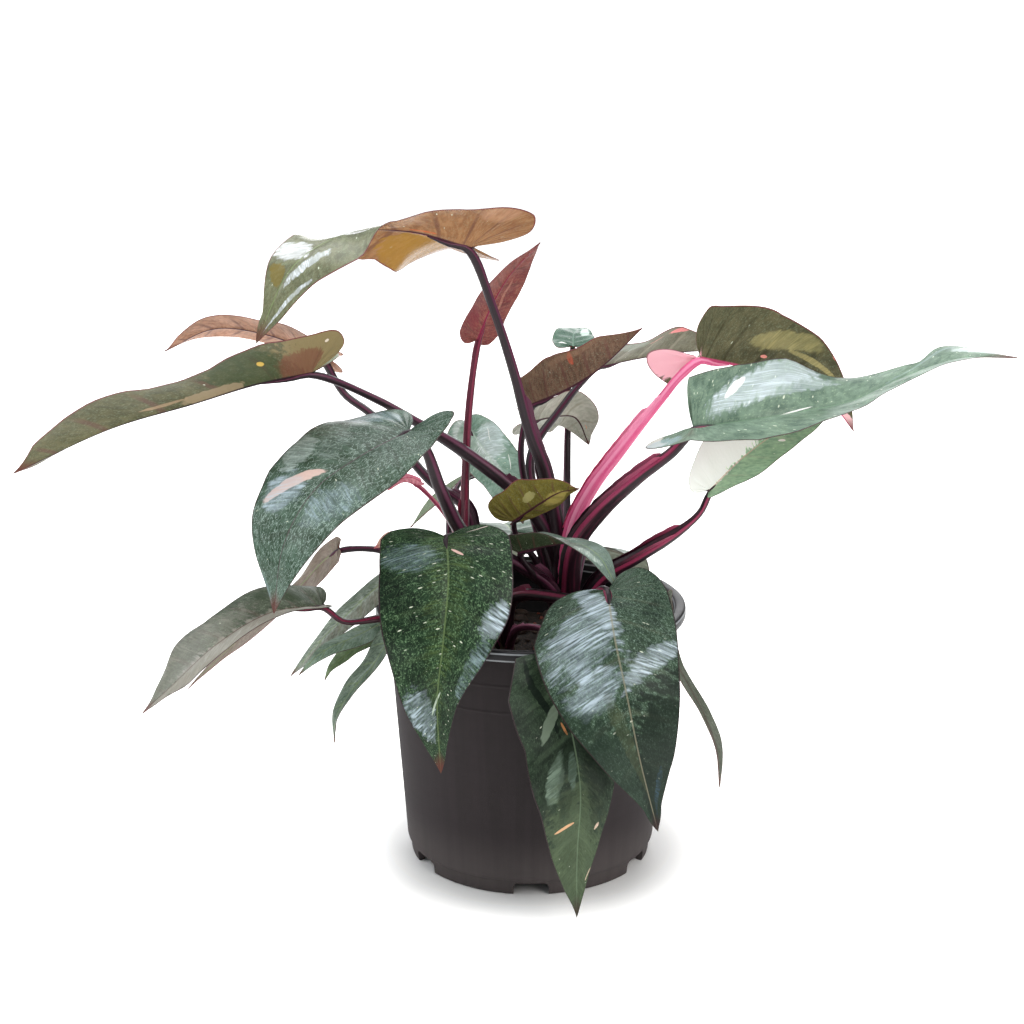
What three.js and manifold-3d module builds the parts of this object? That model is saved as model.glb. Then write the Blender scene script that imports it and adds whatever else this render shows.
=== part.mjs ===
// A pink princess philodendron rooted in a round nursery pot.
// Millimetres, +Z up. The origin is on the floor under the middle of the pot, and -Y is the front.

import * as THREE from "three";
import { mergeVertices } from "three/addons/utils/BufferGeometryUtils.js";
import ManifoldModule from "manifold-3d";

const wasm = await ManifoldModule();
wasm.setup();

// ---------------------------------------------------------------- driving dimensions

const GAP = 0.3; // clearance between two pieces that touch

const POT_HEIGHT = 183;
const POT_LIP_RADIUS = 108; // outside of the rolled lip
const POT_LIP_DEPTH = 8; // height of the lip's outer band
const POT_FOOT_RADIUS = 85; // outside of the foot ring
const POT_FOOT_HEIGHT = 10; // floor plate above the ground
const POT_WALL_FOOT_RADIUS = 87; // the tapered wall, carried down to the ground
const POT_WALL_TOP_RADIUS = 99.7; // the tapered wall just under the lip
const POT_WALL = 1.8;
const POT_SEGMENTS = 42;
const STEP_RING_HEIGHTS = [136, 155]; // thin raised rings round the outside
const STEP_RING_RISE = 0.6;
const STEP_RING_HALF = 1.2; // half of a ring's height
const NOTCH_COUNT = 6; // drainage notches in the foot ring
const NOTCH_WIDTH = 24;
const NOTCH_DEPTH = 20;
const NOTCH_ROOF = 1; // how far a notch's roof lies below the floor plate
const DRAIN_RADIUS = 6;
const DRAIN_CIRCLE = 62; // radius of the circle of drain holes
const DRAIN_SIDES = 10;

const SOIL_BOTTOM = POT_FOOT_HEIGHT + POT_WALL + GAP;
const SOIL_TOP = 143; // at the pot's wall; the middle is a little higher
const SOIL_LUMP = 1.2;
const SOIL_SEGMENTS = 24;

const BLADE_THICKNESS = 0.8;
const BLADE_FRAMES = 24; // cross-sections along a midrib that steer the blade
const SLIM_START = 0.3; // where along the blade the narrowing of a slim tip begins and is complete
const SLIM_END = 0.8;
const VEIN_SWEEP = 1.2; // how late a side vein turns towards the tip; 1 is straight
const WAVE_LEAF_STEP = 1.7; // radians by which the waves of two leaves differ
const WAVE_SIDE_STEP = 2.1; // radians by which the waves of a blade's halves differ
const STALK_SIDES = 6;
const STEM_SIDES = 8;
const STALK_STEPS = 1.6; // steps of a stalk's bar for each of its points
const STEM_STEPS = 4;
const UP = [0, 0, 1];
const BAR_SEAM = [0.3, -0.9, 0.2]; // the side of a stem or stalk where its rings start
const DEG = Math.PI / 180;

// Half outline of a heart-shaped blade: [share of the half width, share of the length from the
// stalk, share of the midrib at which that side vein leaves it].
const OUTLINE = [
  [0.04, -0.02, 0], [0.2, -0.1, 0], [0.5, -0.15, 0], [0.8, -0.09, 0], [0.96, 0.06, 0.02],
  [1, 0.24, 0.14], [0.88, 0.46, 0.36], [0.58, 0.69, 0.6], [0.22, 0.88, 0.82], [0, 1, 1],
];

// ---------------------------------------------------------------- colours

const COLOURS = {
  pot: "#2f2d30", soil: "#3b2c22", stem: "#4a2a3c", green: "#2f4a38", olive: "#6b6a48",
  brown: "#6a4a3c", red: "#7d4038", grey: "#6d7a66", pale: "#c3cdb4", pink: "#d98a9a",
};
const ROUGHNESS = { pot: 0.55, soil: 0.95, stem: 0.4, blade: 0.35 };

// ---------------------------------------------------------------- the leaves
// stem: the stem that the leaf grows from. width: across the blade at its widest. rows: side veins
// of a half. cells: cells from the midrib to the margin. spine: points along the midrib, from the
// stalk to the tip. left, right: how many degrees each half rises across the midrib, evenly spaced
// from the stalk to the tip. lobes: how many degrees the left and right basal lobes rise backwards.
// reach: the lobes' lengths, as shares of a full lobe. fullLeft, fullRight: how full each half is,
// evenly spaced round its margin from the lobe to the tip. slim: the share of the width lost towards
// the tip. curl: how many degrees a half bends between midrib and margin. wave: height and count of
// the waves along a margin. stalk: points from the stem to the blade; the spine's first point ends
// it. thick: the stalk's radius, evenly spaced from the stem to the blade; a sheath widens its foot.

const LEAVES = [
  {
    name: "top_left", stem: "main", colour: "green", width: 98, rows: 12, cells: 3,
    spine: [[-41, -10, 431], [-78, -28, 444], [-115, -48, 446], [-150, -72, 428], [-173, -92, 382]],
    left: [50, 40, -5, -25, -35], right: [-5, -45, -50, 20, 48, 50], lobes: [8, -5], reach: [1.15, 1],
    fullLeft: [1, 1, 1, 1.12, 0.94, 0.74, 0.3, 0.85, 0.87, 1, 1],
    fullRight: [1, 0.5, 0.35, 0.4, 0.6, 0.9, 0.55, 0.68, 0.65, 0.4, 1],
    slim: 0, curl: -15, wave: [3, 2.5], thick: [6.5, 5.5, 5, 4.4, 3.8, 3.2, 2.8],
    stalk: [[24, 0, 165], [19, 0, 227], [10, -2, 274], [-1, -3, 306], [-12, -5, 348], [-26, -8, 392]],
  },
  {
    name: "far_left", stem: "main", colour: "olive", width: 92, rows: 12, cells: 3,
    spine: [[-147, -10, 347], [-183, -22, 342], [-225, -35, 331], [-275, -48, 318], [-339, -60, 290]],
    left: [62, 50, 50, 55], right: [15, 15, 0, -30], lobes: [0, 0], reach: [0.72, 0.8],
    fullLeft: [1, 1, 1, 1, 0.9, 0.92, 0.75, 1, 1.5, 2.1, 1], fullRight: [1, 1],
    slim: 0, curl: -18, wave: [2.5, 2.5], thick: [6.5, 6, 5.6, 5.2, 4.8, 3.4, 2.8, 2.4],
    stalk: [[22, 0, 170], [20, 2, 210], [-1, 3, 251], [-42, 6, 286], [-76, 10, 307], [-106, 8, 325]],
  },
  {
    name: "behind_left", stem: "left", colour: "brown", width: 62, rows: 9, cells: 2,
    spine: [[-146, 40, 350], [-183, 45, 363], [-220, 45, 367], [-254, 40, 352]],
    left: [40, 45, 40], right: [-40, -35, -20], lobes: [0, 0], reach: [1, 1],
    fullLeft: [1, 1, 1, 0.85, 0.75, 0.74, 0.72, 0.72, 1, 1.3, 1],
    fullRight: [1, 1, 1, 0.8, 0.6, 0.5, 0.5, 0.6, 0.8, 1, 1],
    slim: 0, curl: -15, wave: [2, 2], thick: [5, 2.4],
    stalk: [[-45, 10, 165], [-43, 25, 239], [-71, 38, 260], [-111, 42, 306], [-130, 42, 321]],
  },
  {
    name: "left", stem: "front", colour: "green", width: 108, rows: 12, cells: 3,
    spine: [[-81, -35, 313], [-111, -60, 302], [-140, -85, 285], [-158, -105, 255], [-165, -112, 211]],
    left: [-5, -5, 0], right: [12, 22, 10], lobes: [30, -5], reach: [1, 0.7],
    fullLeft: [1, 1, 0.95, 0.68, 0.53, 0.67, 0.77, 0.91, 0.95, 1, 1],
    fullRight: [1, 1, 1, 1, 1.05, 1.08, 0.97, 0.9, 1, 1, 1],
    slim: 0, curl: -20, wave: [2, 2], thick: [6, 5.6, 5.4, 5.2, 4.6, 3],
    stalk: [[-17, -25, 160], [-28, -20, 217], [-47, -24, 240], [-61, -30, 272], [-71, -34, 301]],
  },
  {
    name: "variegated", stem: "left", colour: "pale", width: 62, rows: 9, cells: 2,
    spine: [[-43, 62, 291], [-30, 60, 272], [-17, 48, 252], [-5, 30, 230]],
    left: [50, 50, 40], right: [-50, -50, -40], lobes: [0, 40], reach: [0.6, 1.2],
    fullLeft: [1, 0.6, 0.5, 0.5, 0.55, 0.7, 0.72, 0.78, 0.82, 1, 1],
    fullRight: [1, 1, 1, 0.9, 0.8, 0.6, 0.6, 0.6, 0.8, 1, 1],
    slim: 0, curl: -15, wave: [2, 2], thick: [4.5, 2.4],
    stalk: [[-45, 10, 165], [-46, 30, 215], [-46, 54, 262]],
  },
  {
    name: "top_centre", stem: "left", colour: "red", width: 46, rows: 9, cells: 2,
    spine: [[-37, 20, 364], [-29, 25, 383], [-16, 25, 406], [6, 20, 430]],
    left: [-70, -60, -60], right: [75, 60, 60], lobes: [0, 0], reach: [0.2, 0.5],
    fullLeft: [0.5, 0.5, 0.5, 0.5, 0.6, 0.9, 1.12, 1.2, 1.5, 1.5, 1],
    fullRight: [1, 0.85, 0.85, 0.85, 0.9, 1, 1, 1, 1, 0.9, 1],
    slim: 0, curl: -10, wave: [1.5, 2], thick: [4, 3.4, 3, 2.6, 2.2],
    stalk: [[-45, 10, 165], [-46, 14, 237], [-45, 16, 276], [-42, 18, 322]],
  },
  {
    name: "centre_brown", stem: "main", colour: "brown", width: 54, rows: 9, cells: 2,
    spine: [[1, 28, 317], [24, 25, 328], [47, 20, 344], [76, 20, 372]],
    left: [-5, 0, 0], right: [70, 60, 50], lobes: [0, 0], reach: [1, 0.2],
    fullLeft: [1, 1], fullRight: [1, 0.7, 0.75, 0.8, 0.9, 1, 1, 1.2, 1.45, 1.3, 1],
    slim: 0, curl: 10, wave: [2, 2], thick: [4, 3, 2.2],
    stalk: [[24, 2, 165], [10, 15, 208], [-7, 26, 285]],
  },
  {
    name: "back_small", stem: "main", colour: "grey", width: 31, rows: 7, cells: 2,
    spine: [[31, 95, 345], [33, 118, 351], [43, 140, 350]],
    left: [10, 10, 0], right: [10, 10, 0], lobes: [10, 10], reach: [1, 1],
    fullLeft: [1, 1], fullRight: [1, 1],
    slim: 0, curl: -15, wave: [1.5, 2], thick: [4, 2],
    stalk: [[24, 2, 165], [26, 58, 215], [28, 112, 275], [29, 114, 325]],
  },
  {
    name: "back_right", stem: "main", colour: "grey", width: 58, rows: 9, cells: 2,
    spine: [[46, 60, 337], [78, 78, 340], [115, 92, 342], [156, 100, 340]],
    left: [0, 0, 0], right: [35, 55, 60], lobes: [0, 0], reach: [0.6, 0.6],
    fullLeft: [1, 1], fullRight: [1, 1, 1, 1, 1, 1, 1, 1.12, 1, 1, 1],
    slim: 0, curl: -10, wave: [2, 2], thick: [5, 4.4, 3.6, 3, 2.2],
    stalk: [[24, 2, 165], [17, 20, 206], [0, 45, 273], [21, 55, 307]],
  },
  {
    name: "back_centre", stem: "main", colour: "grey", width: 62, rows: 9, cells: 2,
    spine: [[-2, 80, 292], [14, 88, 294], [33, 97, 292], [44, 102, 270]],
    left: [-20, -30, -30], right: [60, 60, 30], lobes: [0, 0], reach: [0.4, 0.5],
    fullLeft: [1, 1], fullRight: [1, 0.4, 0.45, 0.5, 0.5, 0.6, 0.8, 0.97, 0.95, 0.7, 1],
    slim: 0, curl: -15, wave: [2, 2], thick: [4, 2.2],
    stalk: [[24, 2, 165], [20, 40, 200], [8, 72, 250]],
  },
  {
    name: "pink_right", stem: "main", colour: "pink", width: 90, rows: 12, cells: 3,
    spine: [[113, -10, 357], [144, 0, 349], [180, 10, 335], [209, 18, 317], [223, 18, 300]],
    left: [-35, 45, 45, 30], right: [80, 78, 72, 50], lobes: [15, 0], reach: [1.6, 0.5],
    fullLeft: [1, 1], fullRight: [1, 1, 1, 1.1, 1, 0.97, 0.95, 1.1, 0.97, 0.95, 1],
    slim: 0, curl: -15, wave: [2, 2], thick: [6.8, 6.3, 5.6, 4.8, 3.4, 2.8],
    stalk: [[24, -2, 165], [28, -6, 236], [40, -8, 265], [60, -8, 293], [87, -8, 328], [100, -10, 345]],
  },
  {
    name: "long_right", stem: "main", colour: "green", width: 88, rows: 13, cells: 3,
    spine: [
      [106, -44, 317], [139, -50, 323], [176, -42, 327], [212, -24, 330],
      [253, 4, 341], [294, 22, 350], [336, 32, 349],
    ],
    left: [60, 58, 30, 15, 20], right: [-10, -12, -5, 5, 10], lobes: [0, 0], reach: [0.05, 0.8],
    fullLeft: [1, 0.9, 0.9, 0.9, 0.85, 1, 0.97, 0.75, 0.8, 4.5, 1],
    fullRight: [1, 1, 1, 0.75, 0.45, 0.75, 0.42, 0.35, 0.6, 1.2, 1],
    slim: 0.5, curl: -10, wave: [3, 2.5], thick: [8, 7.6, 7, 6, 4.4, 3],
    stalk: [[26, -8, 165], [30, -25, 231], [46, -32, 257], [72, -42, 284], [92, -44, 300]],
  },
  {
    name: "half_white", stem: "main", colour: "pale", width: 66, rows: 9, cells: 2,
    spine: [[120, -25, 269], [145, -12, 290], [180, 0, 311], [217, 5, 325]],
    left: [50, 40, 30], right: [-5, -5, -5], lobes: [0, 0], reach: [0.5, 0.3],
    fullLeft: [1, 0.5, 0.5, 0.5, 0.6, 0.8, 0.95, 1, 1, 1, 1],
    fullRight: [1, 0.35, 0.3, 0.25, 0.3, 0.58, 0.74, 0.92, 1, 1, 1],
    slim: 0, curl: -10, wave: [2, 2], thick: [6, 5.8, 5.5, 5.2, 4.6, 2.6, 2],
    stalk: [[28, -8, 160], [47, -18, 204], [74, -25, 224], [101, -27, 242], [114, -26, 254]],
  },
  {
    name: "front_left", stem: "main", colour: "green", width: 94, rows: 12, cells: 3,
    spine: [[-56, -72, 250], [-54, -92, 230], [-57, -112, 193], [-61, -120, 155], [-59, -124, 106]],
    left: [10, 5, 0], right: [10, 5, 0], lobes: [0, 0], reach: [0.33, 0.28],
    fullLeft: [1, 1, 1, 1, 0.98, 0.9, 0.9, 0.78, 0.62, 0.65, 1],
    fullRight: [1, 1, 1, 1, 1, 0.96, 0.96, 1.02, 1.1, 1.15, 1],
    slim: 0.2, curl: -25, wave: [2, 2], thick: [5.5, 5.4, 5, 4.2, 3],
    stalk: [[20, -8, 160], [14, -20, 197], [-11, -40, 223], [-35, -58, 240]],
  },
  {
    name: "front_right", stem: "front", colour: "green", width: 100, rows: 12, cells: 3,
    spine: [[48, -104, 224], [52, -132, 200], [58, -152, 174], [67, -160, 131], [80, -152, 78]],
    left: [0, 0, 0], right: [-22, -8, 0], lobes: [0, 10], reach: [0.7, 0.2],
    fullLeft: [1, 1, 1, 0.9, 0.89, 0.86, 0.82, 0.85, 0.95, 0.7, 1],
    fullRight: [1, 1, 1, 0.97, 0.94, 1.1, 1.03, 1, 0.84, 0.6, 1],
    slim: 0.1, curl: -20, wave: [2, 2], thick: [5, 4.8, 4.4, 4, 3],
    stalk: [[-17, -25, 155], [-12, -38, 197], [32, -74, 208]],
  },
  {
    name: "hanging", stem: "front", colour: "green", width: 58, rows: 9, cells: 2,
    spine: [[19, -112, 185], [23, -121, 149], [31, -131, 99], [29, -139, 53], [29, -145, 14]],
    left: [14, 6, 0], right: [0, 0, 0], lobes: [0, 0], reach: [0.35, 0.05],
    fullLeft: [1, 1], fullRight: [1, 1, 1.05, 1.1, 1.2, 1.4, 1.15, 1.4, 1.35, 1.5, 1],
    slim: 0, curl: -8, wave: [2, 2], thick: [3.4, 2.8, 2.4, 2],
    stalk: [[-17, -25, 150], [-9, -52, 180], [12, -88, 190]],
  },
  {
    name: "young_olive", stem: "main", colour: "olive", width: 40, rows: 7, cells: 2,
    spine: [[-12, -25, 248], [6, -30, 262], [19, -35, 271], [32, -38, 274]],
    left: [-60, -50, -50], right: [60, 60, 40], lobes: [0, 0], reach: [0.5, 1],
    fullLeft: [0.1, 0.1, 0.1, 0.12, 0.15, 0.32, 0.5, 0.75, 1, 1, 1],
    fullRight: [1, 1, 1.15, 1.3, 1.2, 1.2, 1.25, 1.25, 1.5, 2, 1],
    slim: 0, curl: 10, wave: [1, 2], thick: [3.5, 1.6],
    stalk: [[22, -2, 165], [4, -10, 214], [-10, -20, 236]],
  },
  {
    name: "young_front", stem: "main", colour: "green", width: 40, rows: 7, cells: 2,
    spine: [[-8, -45, 232], [11, -52, 239], [28, -65, 244], [43, -80, 240], [56, -92, 220]],
    left: [30, 0, -5], right: [60, 30, -10], lobes: [0, 0], reach: [0.5, 0.5],
    fullLeft: [1, 1, 1, 1, 1, 0.9, 0.4, 0.6, 0.9, 1, 1], fullRight: [1, 1],
    slim: 0, curl: -10, wave: [1, 2], thick: [3.5, 1.8],
    stalk: [[22, -4, 165], [10, -20, 197], [-1, -38, 217]],
  },
  {
    name: "lower_left", stem: "left", colour: "green", width: 58, rows: 9, cells: 2,
    spine: [[-139, -60, 199], [-172, -75, 199], [-205, -90, 183], [-237, -95, 154], [-256, -95, 136]],
    left: [14, 0, 8], right: [25, 25, 10], lobes: [0, 0], reach: [0.2, 0.3],
    fullLeft: [0.5, 0.4, 0.4, 0.4, 0.4, 0.35, 0.4, 0.6, 1, 1, 1],
    fullRight: [1, 1, 1, 1, 0.9, 0.85, 0.97, 1.1, 1.85, 2.3, 1],
    slim: 0, curl: -15, wave: [2, 2], thick: [4.5, 4.3, 4, 3.6, 2.2, 2],
    stalk: [[-45, 6, 155], [-70, -25, 182], [-99, -58, 190], [-125, -60, 188]],
  },
  {
    name: "lower_left_back", stem: "left", colour: "brown", width: 26, rows: 9, cells: 2,
    spine: [[-133, -6, 222], [-145, -2, 211], [-163, 0, 191], [-197, 2, 161], [-242, -2, 118]],
    left: [-30, -30, -30], right: [40, 40, 40], lobes: [0, 0], reach: [0.15, 0.15],
    fullLeft: [1, 1], fullRight: [1, 1],
    slim: 0, curl: -15, wave: [2, 2], thick: [4, 2],
    stalk: [[-45, 8, 160], [-70, 0, 200], [-100, -4, 220]],
  },
  {
    name: "side_upper", stem: "left", colour: "green", width: 42, rows: 7, cells: 2,
    spine: [[-93, -22, 209], [-107, -28, 200], [-123, -36, 187], [-142, -46, 170], [-163, -52, 146]],
    left: [-20, -20, -20], right: [10, 10, 10], lobes: [0, 0], reach: [1, 1],
    fullLeft: [1, 1, 1, 1, 0.8, 0.6, 0.6, 0.6, 0.8, 1], fullRight: [0.6, 0.6],
    slim: 0, curl: -15, wave: [1, 2], thick: [3.5, 1.8],
    stalk: [[-45, 6, 155], [-70, -18, 195]],
  },
  {
    name: "side_middle", stem: "left", colour: "green", width: 30, rows: 7, cells: 2,
    spine: [[-91, -55, 190], [-118, -62, 178], [-139, -70, 170], [-155, -74, 155]],
    left: [-20, -20, -20], right: [10, 10, 10], lobes: [0, 0], reach: [1, 1],
    fullLeft: [1, 1, 1, 0.8, 0.7, 0.7, 0.75, 0.8, 1],
    fullRight: [0.5, 0.5, 0.5, 0.5, 0.5, 0.9, 1, 1, 1],
    slim: 0, curl: -15, wave: [1, 2], thick: [3, 1.6],
    stalk: [[-45, 4, 155], [-68, -30, 188]],
  },
  {
    name: "side_lower", stem: "left", colour: "green", width: 30, rows: 7, cells: 2,
    spine: [[-89, -84, 191], [-106, -92, 166], [-119, -96, 151], [-128, -99, 135], [-130, -99, 117]],
    left: [12, 12, 12], right: [10, 10, 10], lobes: [0, 0], reach: [1, 1],
    fullLeft: [0.6, 0.6], fullRight: [1, 1],
    slim: 0, curl: -15, wave: [1, 2], thick: [3, 1.6],
    stalk: [[-45, 2, 155], [-66, -45, 192]],
  },
  {
    name: "side_under", stem: "left", colour: "green", width: 26, rows: 7, cells: 2,
    spine: [[-109, -44, 169], [-119, -47, 165], [-127, -50, 159], [-135, -52, 152], [-140, -52, 143]],
    left: [-10, -15, -15], right: [10, 10, 10], lobes: [0, 0], reach: [0.2, 0.2],
    fullLeft: [0.5, 0.5], fullRight: [1, 1],
    slim: 0, curl: -15, wave: [1, 2], thick: [3, 1.6],
    stalk: [[-45, 5, 158], [-72, -20, 193], [-92, -36, 195]],
  },
  {
    name: "pink_curled", stem: "left", colour: "pink", width: 16, rows: 7, cells: 2,
    spine: [[-77, -15, 271], [-86, -18, 274], [-97, -20, 268]],
    left: [20, 20, 20], right: [20, 20, 20], lobes: [0, 0], reach: [1, 1],
    fullLeft: [1, 1], fullRight: [1, 1],
    slim: 0, curl: 20, wave: [0.5, 1], thick: [3, 1.4],
    stalk: [[-45, 6, 165], [-48, 2, 220], [-58, -6, 246]],
  },
  {
    name: "small_olive", stem: "left", colour: "olive", width: 30, rows: 7, cells: 2,
    spine: [[-38, 95, 251], [-55, 93, 240], [-72, 88, 226], [-88, 84, 212]],
    left: [20, 20, 20], right: [20, 20, 20], lobes: [0, 0], reach: [0.3, 0.3],
    fullLeft: [1, 1], fullRight: [1, 0.5, 0.4, 0.4, 0.5, 0.7, 1, 1, 1],
    slim: 0, curl: -10, wave: [1, 1], thick: [3, 1.6],
    stalk: [[-45, 12, 160], [-58, 36, 225], [-51, 70, 249]],
  },
  {
    name: "tan_behind", stem: "front", colour: "brown", width: 28, rows: 7, cells: 2,
    spine: [[-62, -44, 213], [-80, -46, 231], [-94, -48, 240], [-105, -50, 236]],
    left: [-30, -30, -30], right: [40, 40, 40], lobes: [0, 0], reach: [1, 1],
    fullLeft: [1, 1], fullRight: [1, 1, 1, 1, 1, 1.1, 1.3, 1.5, 1.5, 1.5, 1],
    slim: 0, curl: -10, wave: [1, 1], thick: [3, 1.6],
    stalk: [[-18, -25, 150], [-45, -38, 205]],
  },
  {
    name: "lower_right", stem: "main", colour: "pale", width: 26, rows: 9, cells: 2,
    spine: [[88, -64, 204], [96, -76, 166], [113, -84, 134], [124, -82, 105], [127, -78, 76]],
    left: [10, 10, 10], right: [10, 10, 10], lobes: [0, 0], reach: [0.3, 0.3],
    fullLeft: [1, 1, 1, 0.8, 0.5, 0.35, 0.25, 0.45, 0.75, 0.9, 1],
    fullRight: [1, 1, 1, 0.6, 0.5, 0.4, 0.4, 0.3, 0.3, 0.5, 1],
    slim: 0, curl: -10, wave: [1, 1], thick: [4, 2],
    stalk: [[28, -6, 155], [50, -32, 190], [68, -54, 205]],
  },
  {
    name: "back_low", stem: "left", colour: "grey", width: 78, rows: 9, cells: 2,
    spine: [[-12, 86, 208], [-20, 114, 206], [-30, 142, 178], [-36, 155, 130], [-36, 159, 92]],
    left: [10, 10, 10], right: [10, 10, 10], lobes: [0, 0], reach: [1, 1],
    fullLeft: [1, 1], fullRight: [1, 1],
    slim: 0, curl: -10, wave: [1, 1], thick: [3.5, 1.8],
    stalk: [[-43, 14, 155], [-30, 50, 192]],
  },
  {
    name: "back_low_right", stem: "main", colour: "green", width: 70, rows: 9, cells: 2,
    spine: [[48, 100, 192], [56, 118, 184], [62, 130, 150], [64, 133, 105], [62, 130, 66]],
    left: [5, 5, 5], right: [5, 5, 5], lobes: [0, 0], reach: [0.8, 0.8],
    fullLeft: [1, 1], fullRight: [1, 1],
    slim: 0, curl: -20, wave: [2, 2], thick: [4.5, 2.2],
    stalk: [[26, 4, 160], [36, 45, 198], [44, 78, 200]],
  },
];

// The rooted stems, from their foot in the soil to the crown, with their radii.
const STEMS = {
  main: { path: [[26, 2, 107], [25, 0, 150], [24, -2, 186]], thick: [9, 9.5, 6] },
  front: { path: [[-18, -24, 107], [-17, -25, 145], [-17, -26, 172]], thick: [7, 7, 5] },
  left: { path: [[-46, 10, 107], [-45, 10, 150], [-45, 10, 178]], thick: [7.5, 7.5, 5] },
};

// ---------------------------------------------------------------- geometry helpers

const vector = (point) => new THREE.Vector3(...point);

/** A closed triangle mesh from points and index triples. */
function mesh(points, triangles) {
  const geometry = new THREE.BufferGeometry();
  const flat = points.flatMap((p) => [p.x, p.y, p.z]);
  geometry.setAttribute("position", new THREE.Float32BufferAttribute(flat, 3));
  geometry.setIndex(triangles.flat());
  return geometry;
}

/** A geometry as a manifold solid, for joining and cutting. */
function solid(geometry) {
  const bare = geometry.clone();
  for (const extra of ["normal", "uv"]) bare.deleteAttribute(extra);
  const merged = mergeVertices(bare, 1e-4);
  const corners = Array.from(merged.index.array);
  const kept = corners.filter((_, i) => {
    const [a, b, c] = corners.slice(i - (i % 3), i - (i % 3) + 3);
    return a !== b && b !== c && a !== c;
  });
  return new wasm.Manifold(new wasm.Mesh({
    numProp: 3,
    vertProperties: new Float32Array(merged.attributes.position.array),
    triVerts: new Uint32Array(kept),
  }));
}

/** A manifold solid as a three.js geometry. */
function geometryOf(body) {
  const result = body.getMesh();
  const geometry = new THREE.BufferGeometry();
  const flat = new Float32Array(result.vertProperties);
  geometry.setAttribute("position", new THREE.BufferAttribute(flat, 3));
  geometry.setIndex(new THREE.BufferAttribute(new Uint32Array(result.triVerts), 1));
  return geometry;
}

/** The largest of a solid's loose bodies; cutting leaves scraps that are dropped. */
function mainBody(body) {
  return body.decompose().sort((a, b) => b.volume() - a.volume())[0];
}

/** Tangents and normals along a curve that turn with it and never twist. */
function framesAlong(curve, steps, up) {
  const frames = [];
  let normal = up.clone();
  for (let i = 0; i <= steps; i++) {
    const tangent = curve.getTangentAt(i / steps).normalize();
    normal = normal.clone().addScaledVector(tangent, -normal.dot(tangent)).normalize();
    const side = tangent.clone().cross(normal);
    frames.push({ centre: curve.getPointAt(i / steps), tangent, normal, side });
  }
  return frames;
}

/** A tapered round bar along a curve through points. */
function taperedBar(points, radii, sides, steps) {
  const curve = new THREE.CatmullRomCurve3(points.map(vector), false, "centripetal");
  const frames = framesAlong(curve, steps, vector(BAR_SEAM));
  const rings = frames.flatMap((frame, i) => Array.from({ length: sides }, (_, k) => {
    const angle = (2 * Math.PI * k) / sides;
    const radius = interpolate(radii, i / steps);
    return frame.centre.clone()
      .addScaledVector(frame.side, radius * Math.cos(angle))
      .addScaledVector(frame.normal, radius * Math.sin(angle));
  }));
  const triangles = [];
  for (let i = 0; i < steps; i++) {
    for (let k = 0; k < sides; k++) {
      const [a, b] = [i * sides + k, i * sides + ((k + 1) % sides)];
      triangles.push([a, a + sides, b], [b, a + sides, b + sides]);
    }
  }
  const last = steps * sides;
  for (let k = 1; k < sides - 1; k++) {
    triangles.push([0, k, k + 1], [last, last + k + 1, last + k]);
  }
  return mesh(rings, triangles);
}

/** The value of evenly spaced samples at a share of their length. */
function interpolate(samples, share) {
  const place = Math.min(Math.max(share, 0), 1) * (samples.length - 1);
  const index = Math.min(Math.floor(place), samples.length - 2);
  return THREE.MathUtils.lerp(samples[index], samples[index + 1], place - index);
}

// ---------------------------------------------------------------- blades

const outlineCurve = new THREE.CatmullRomCurve3(OUTLINE.map(vector), false, "centripetal");

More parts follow.
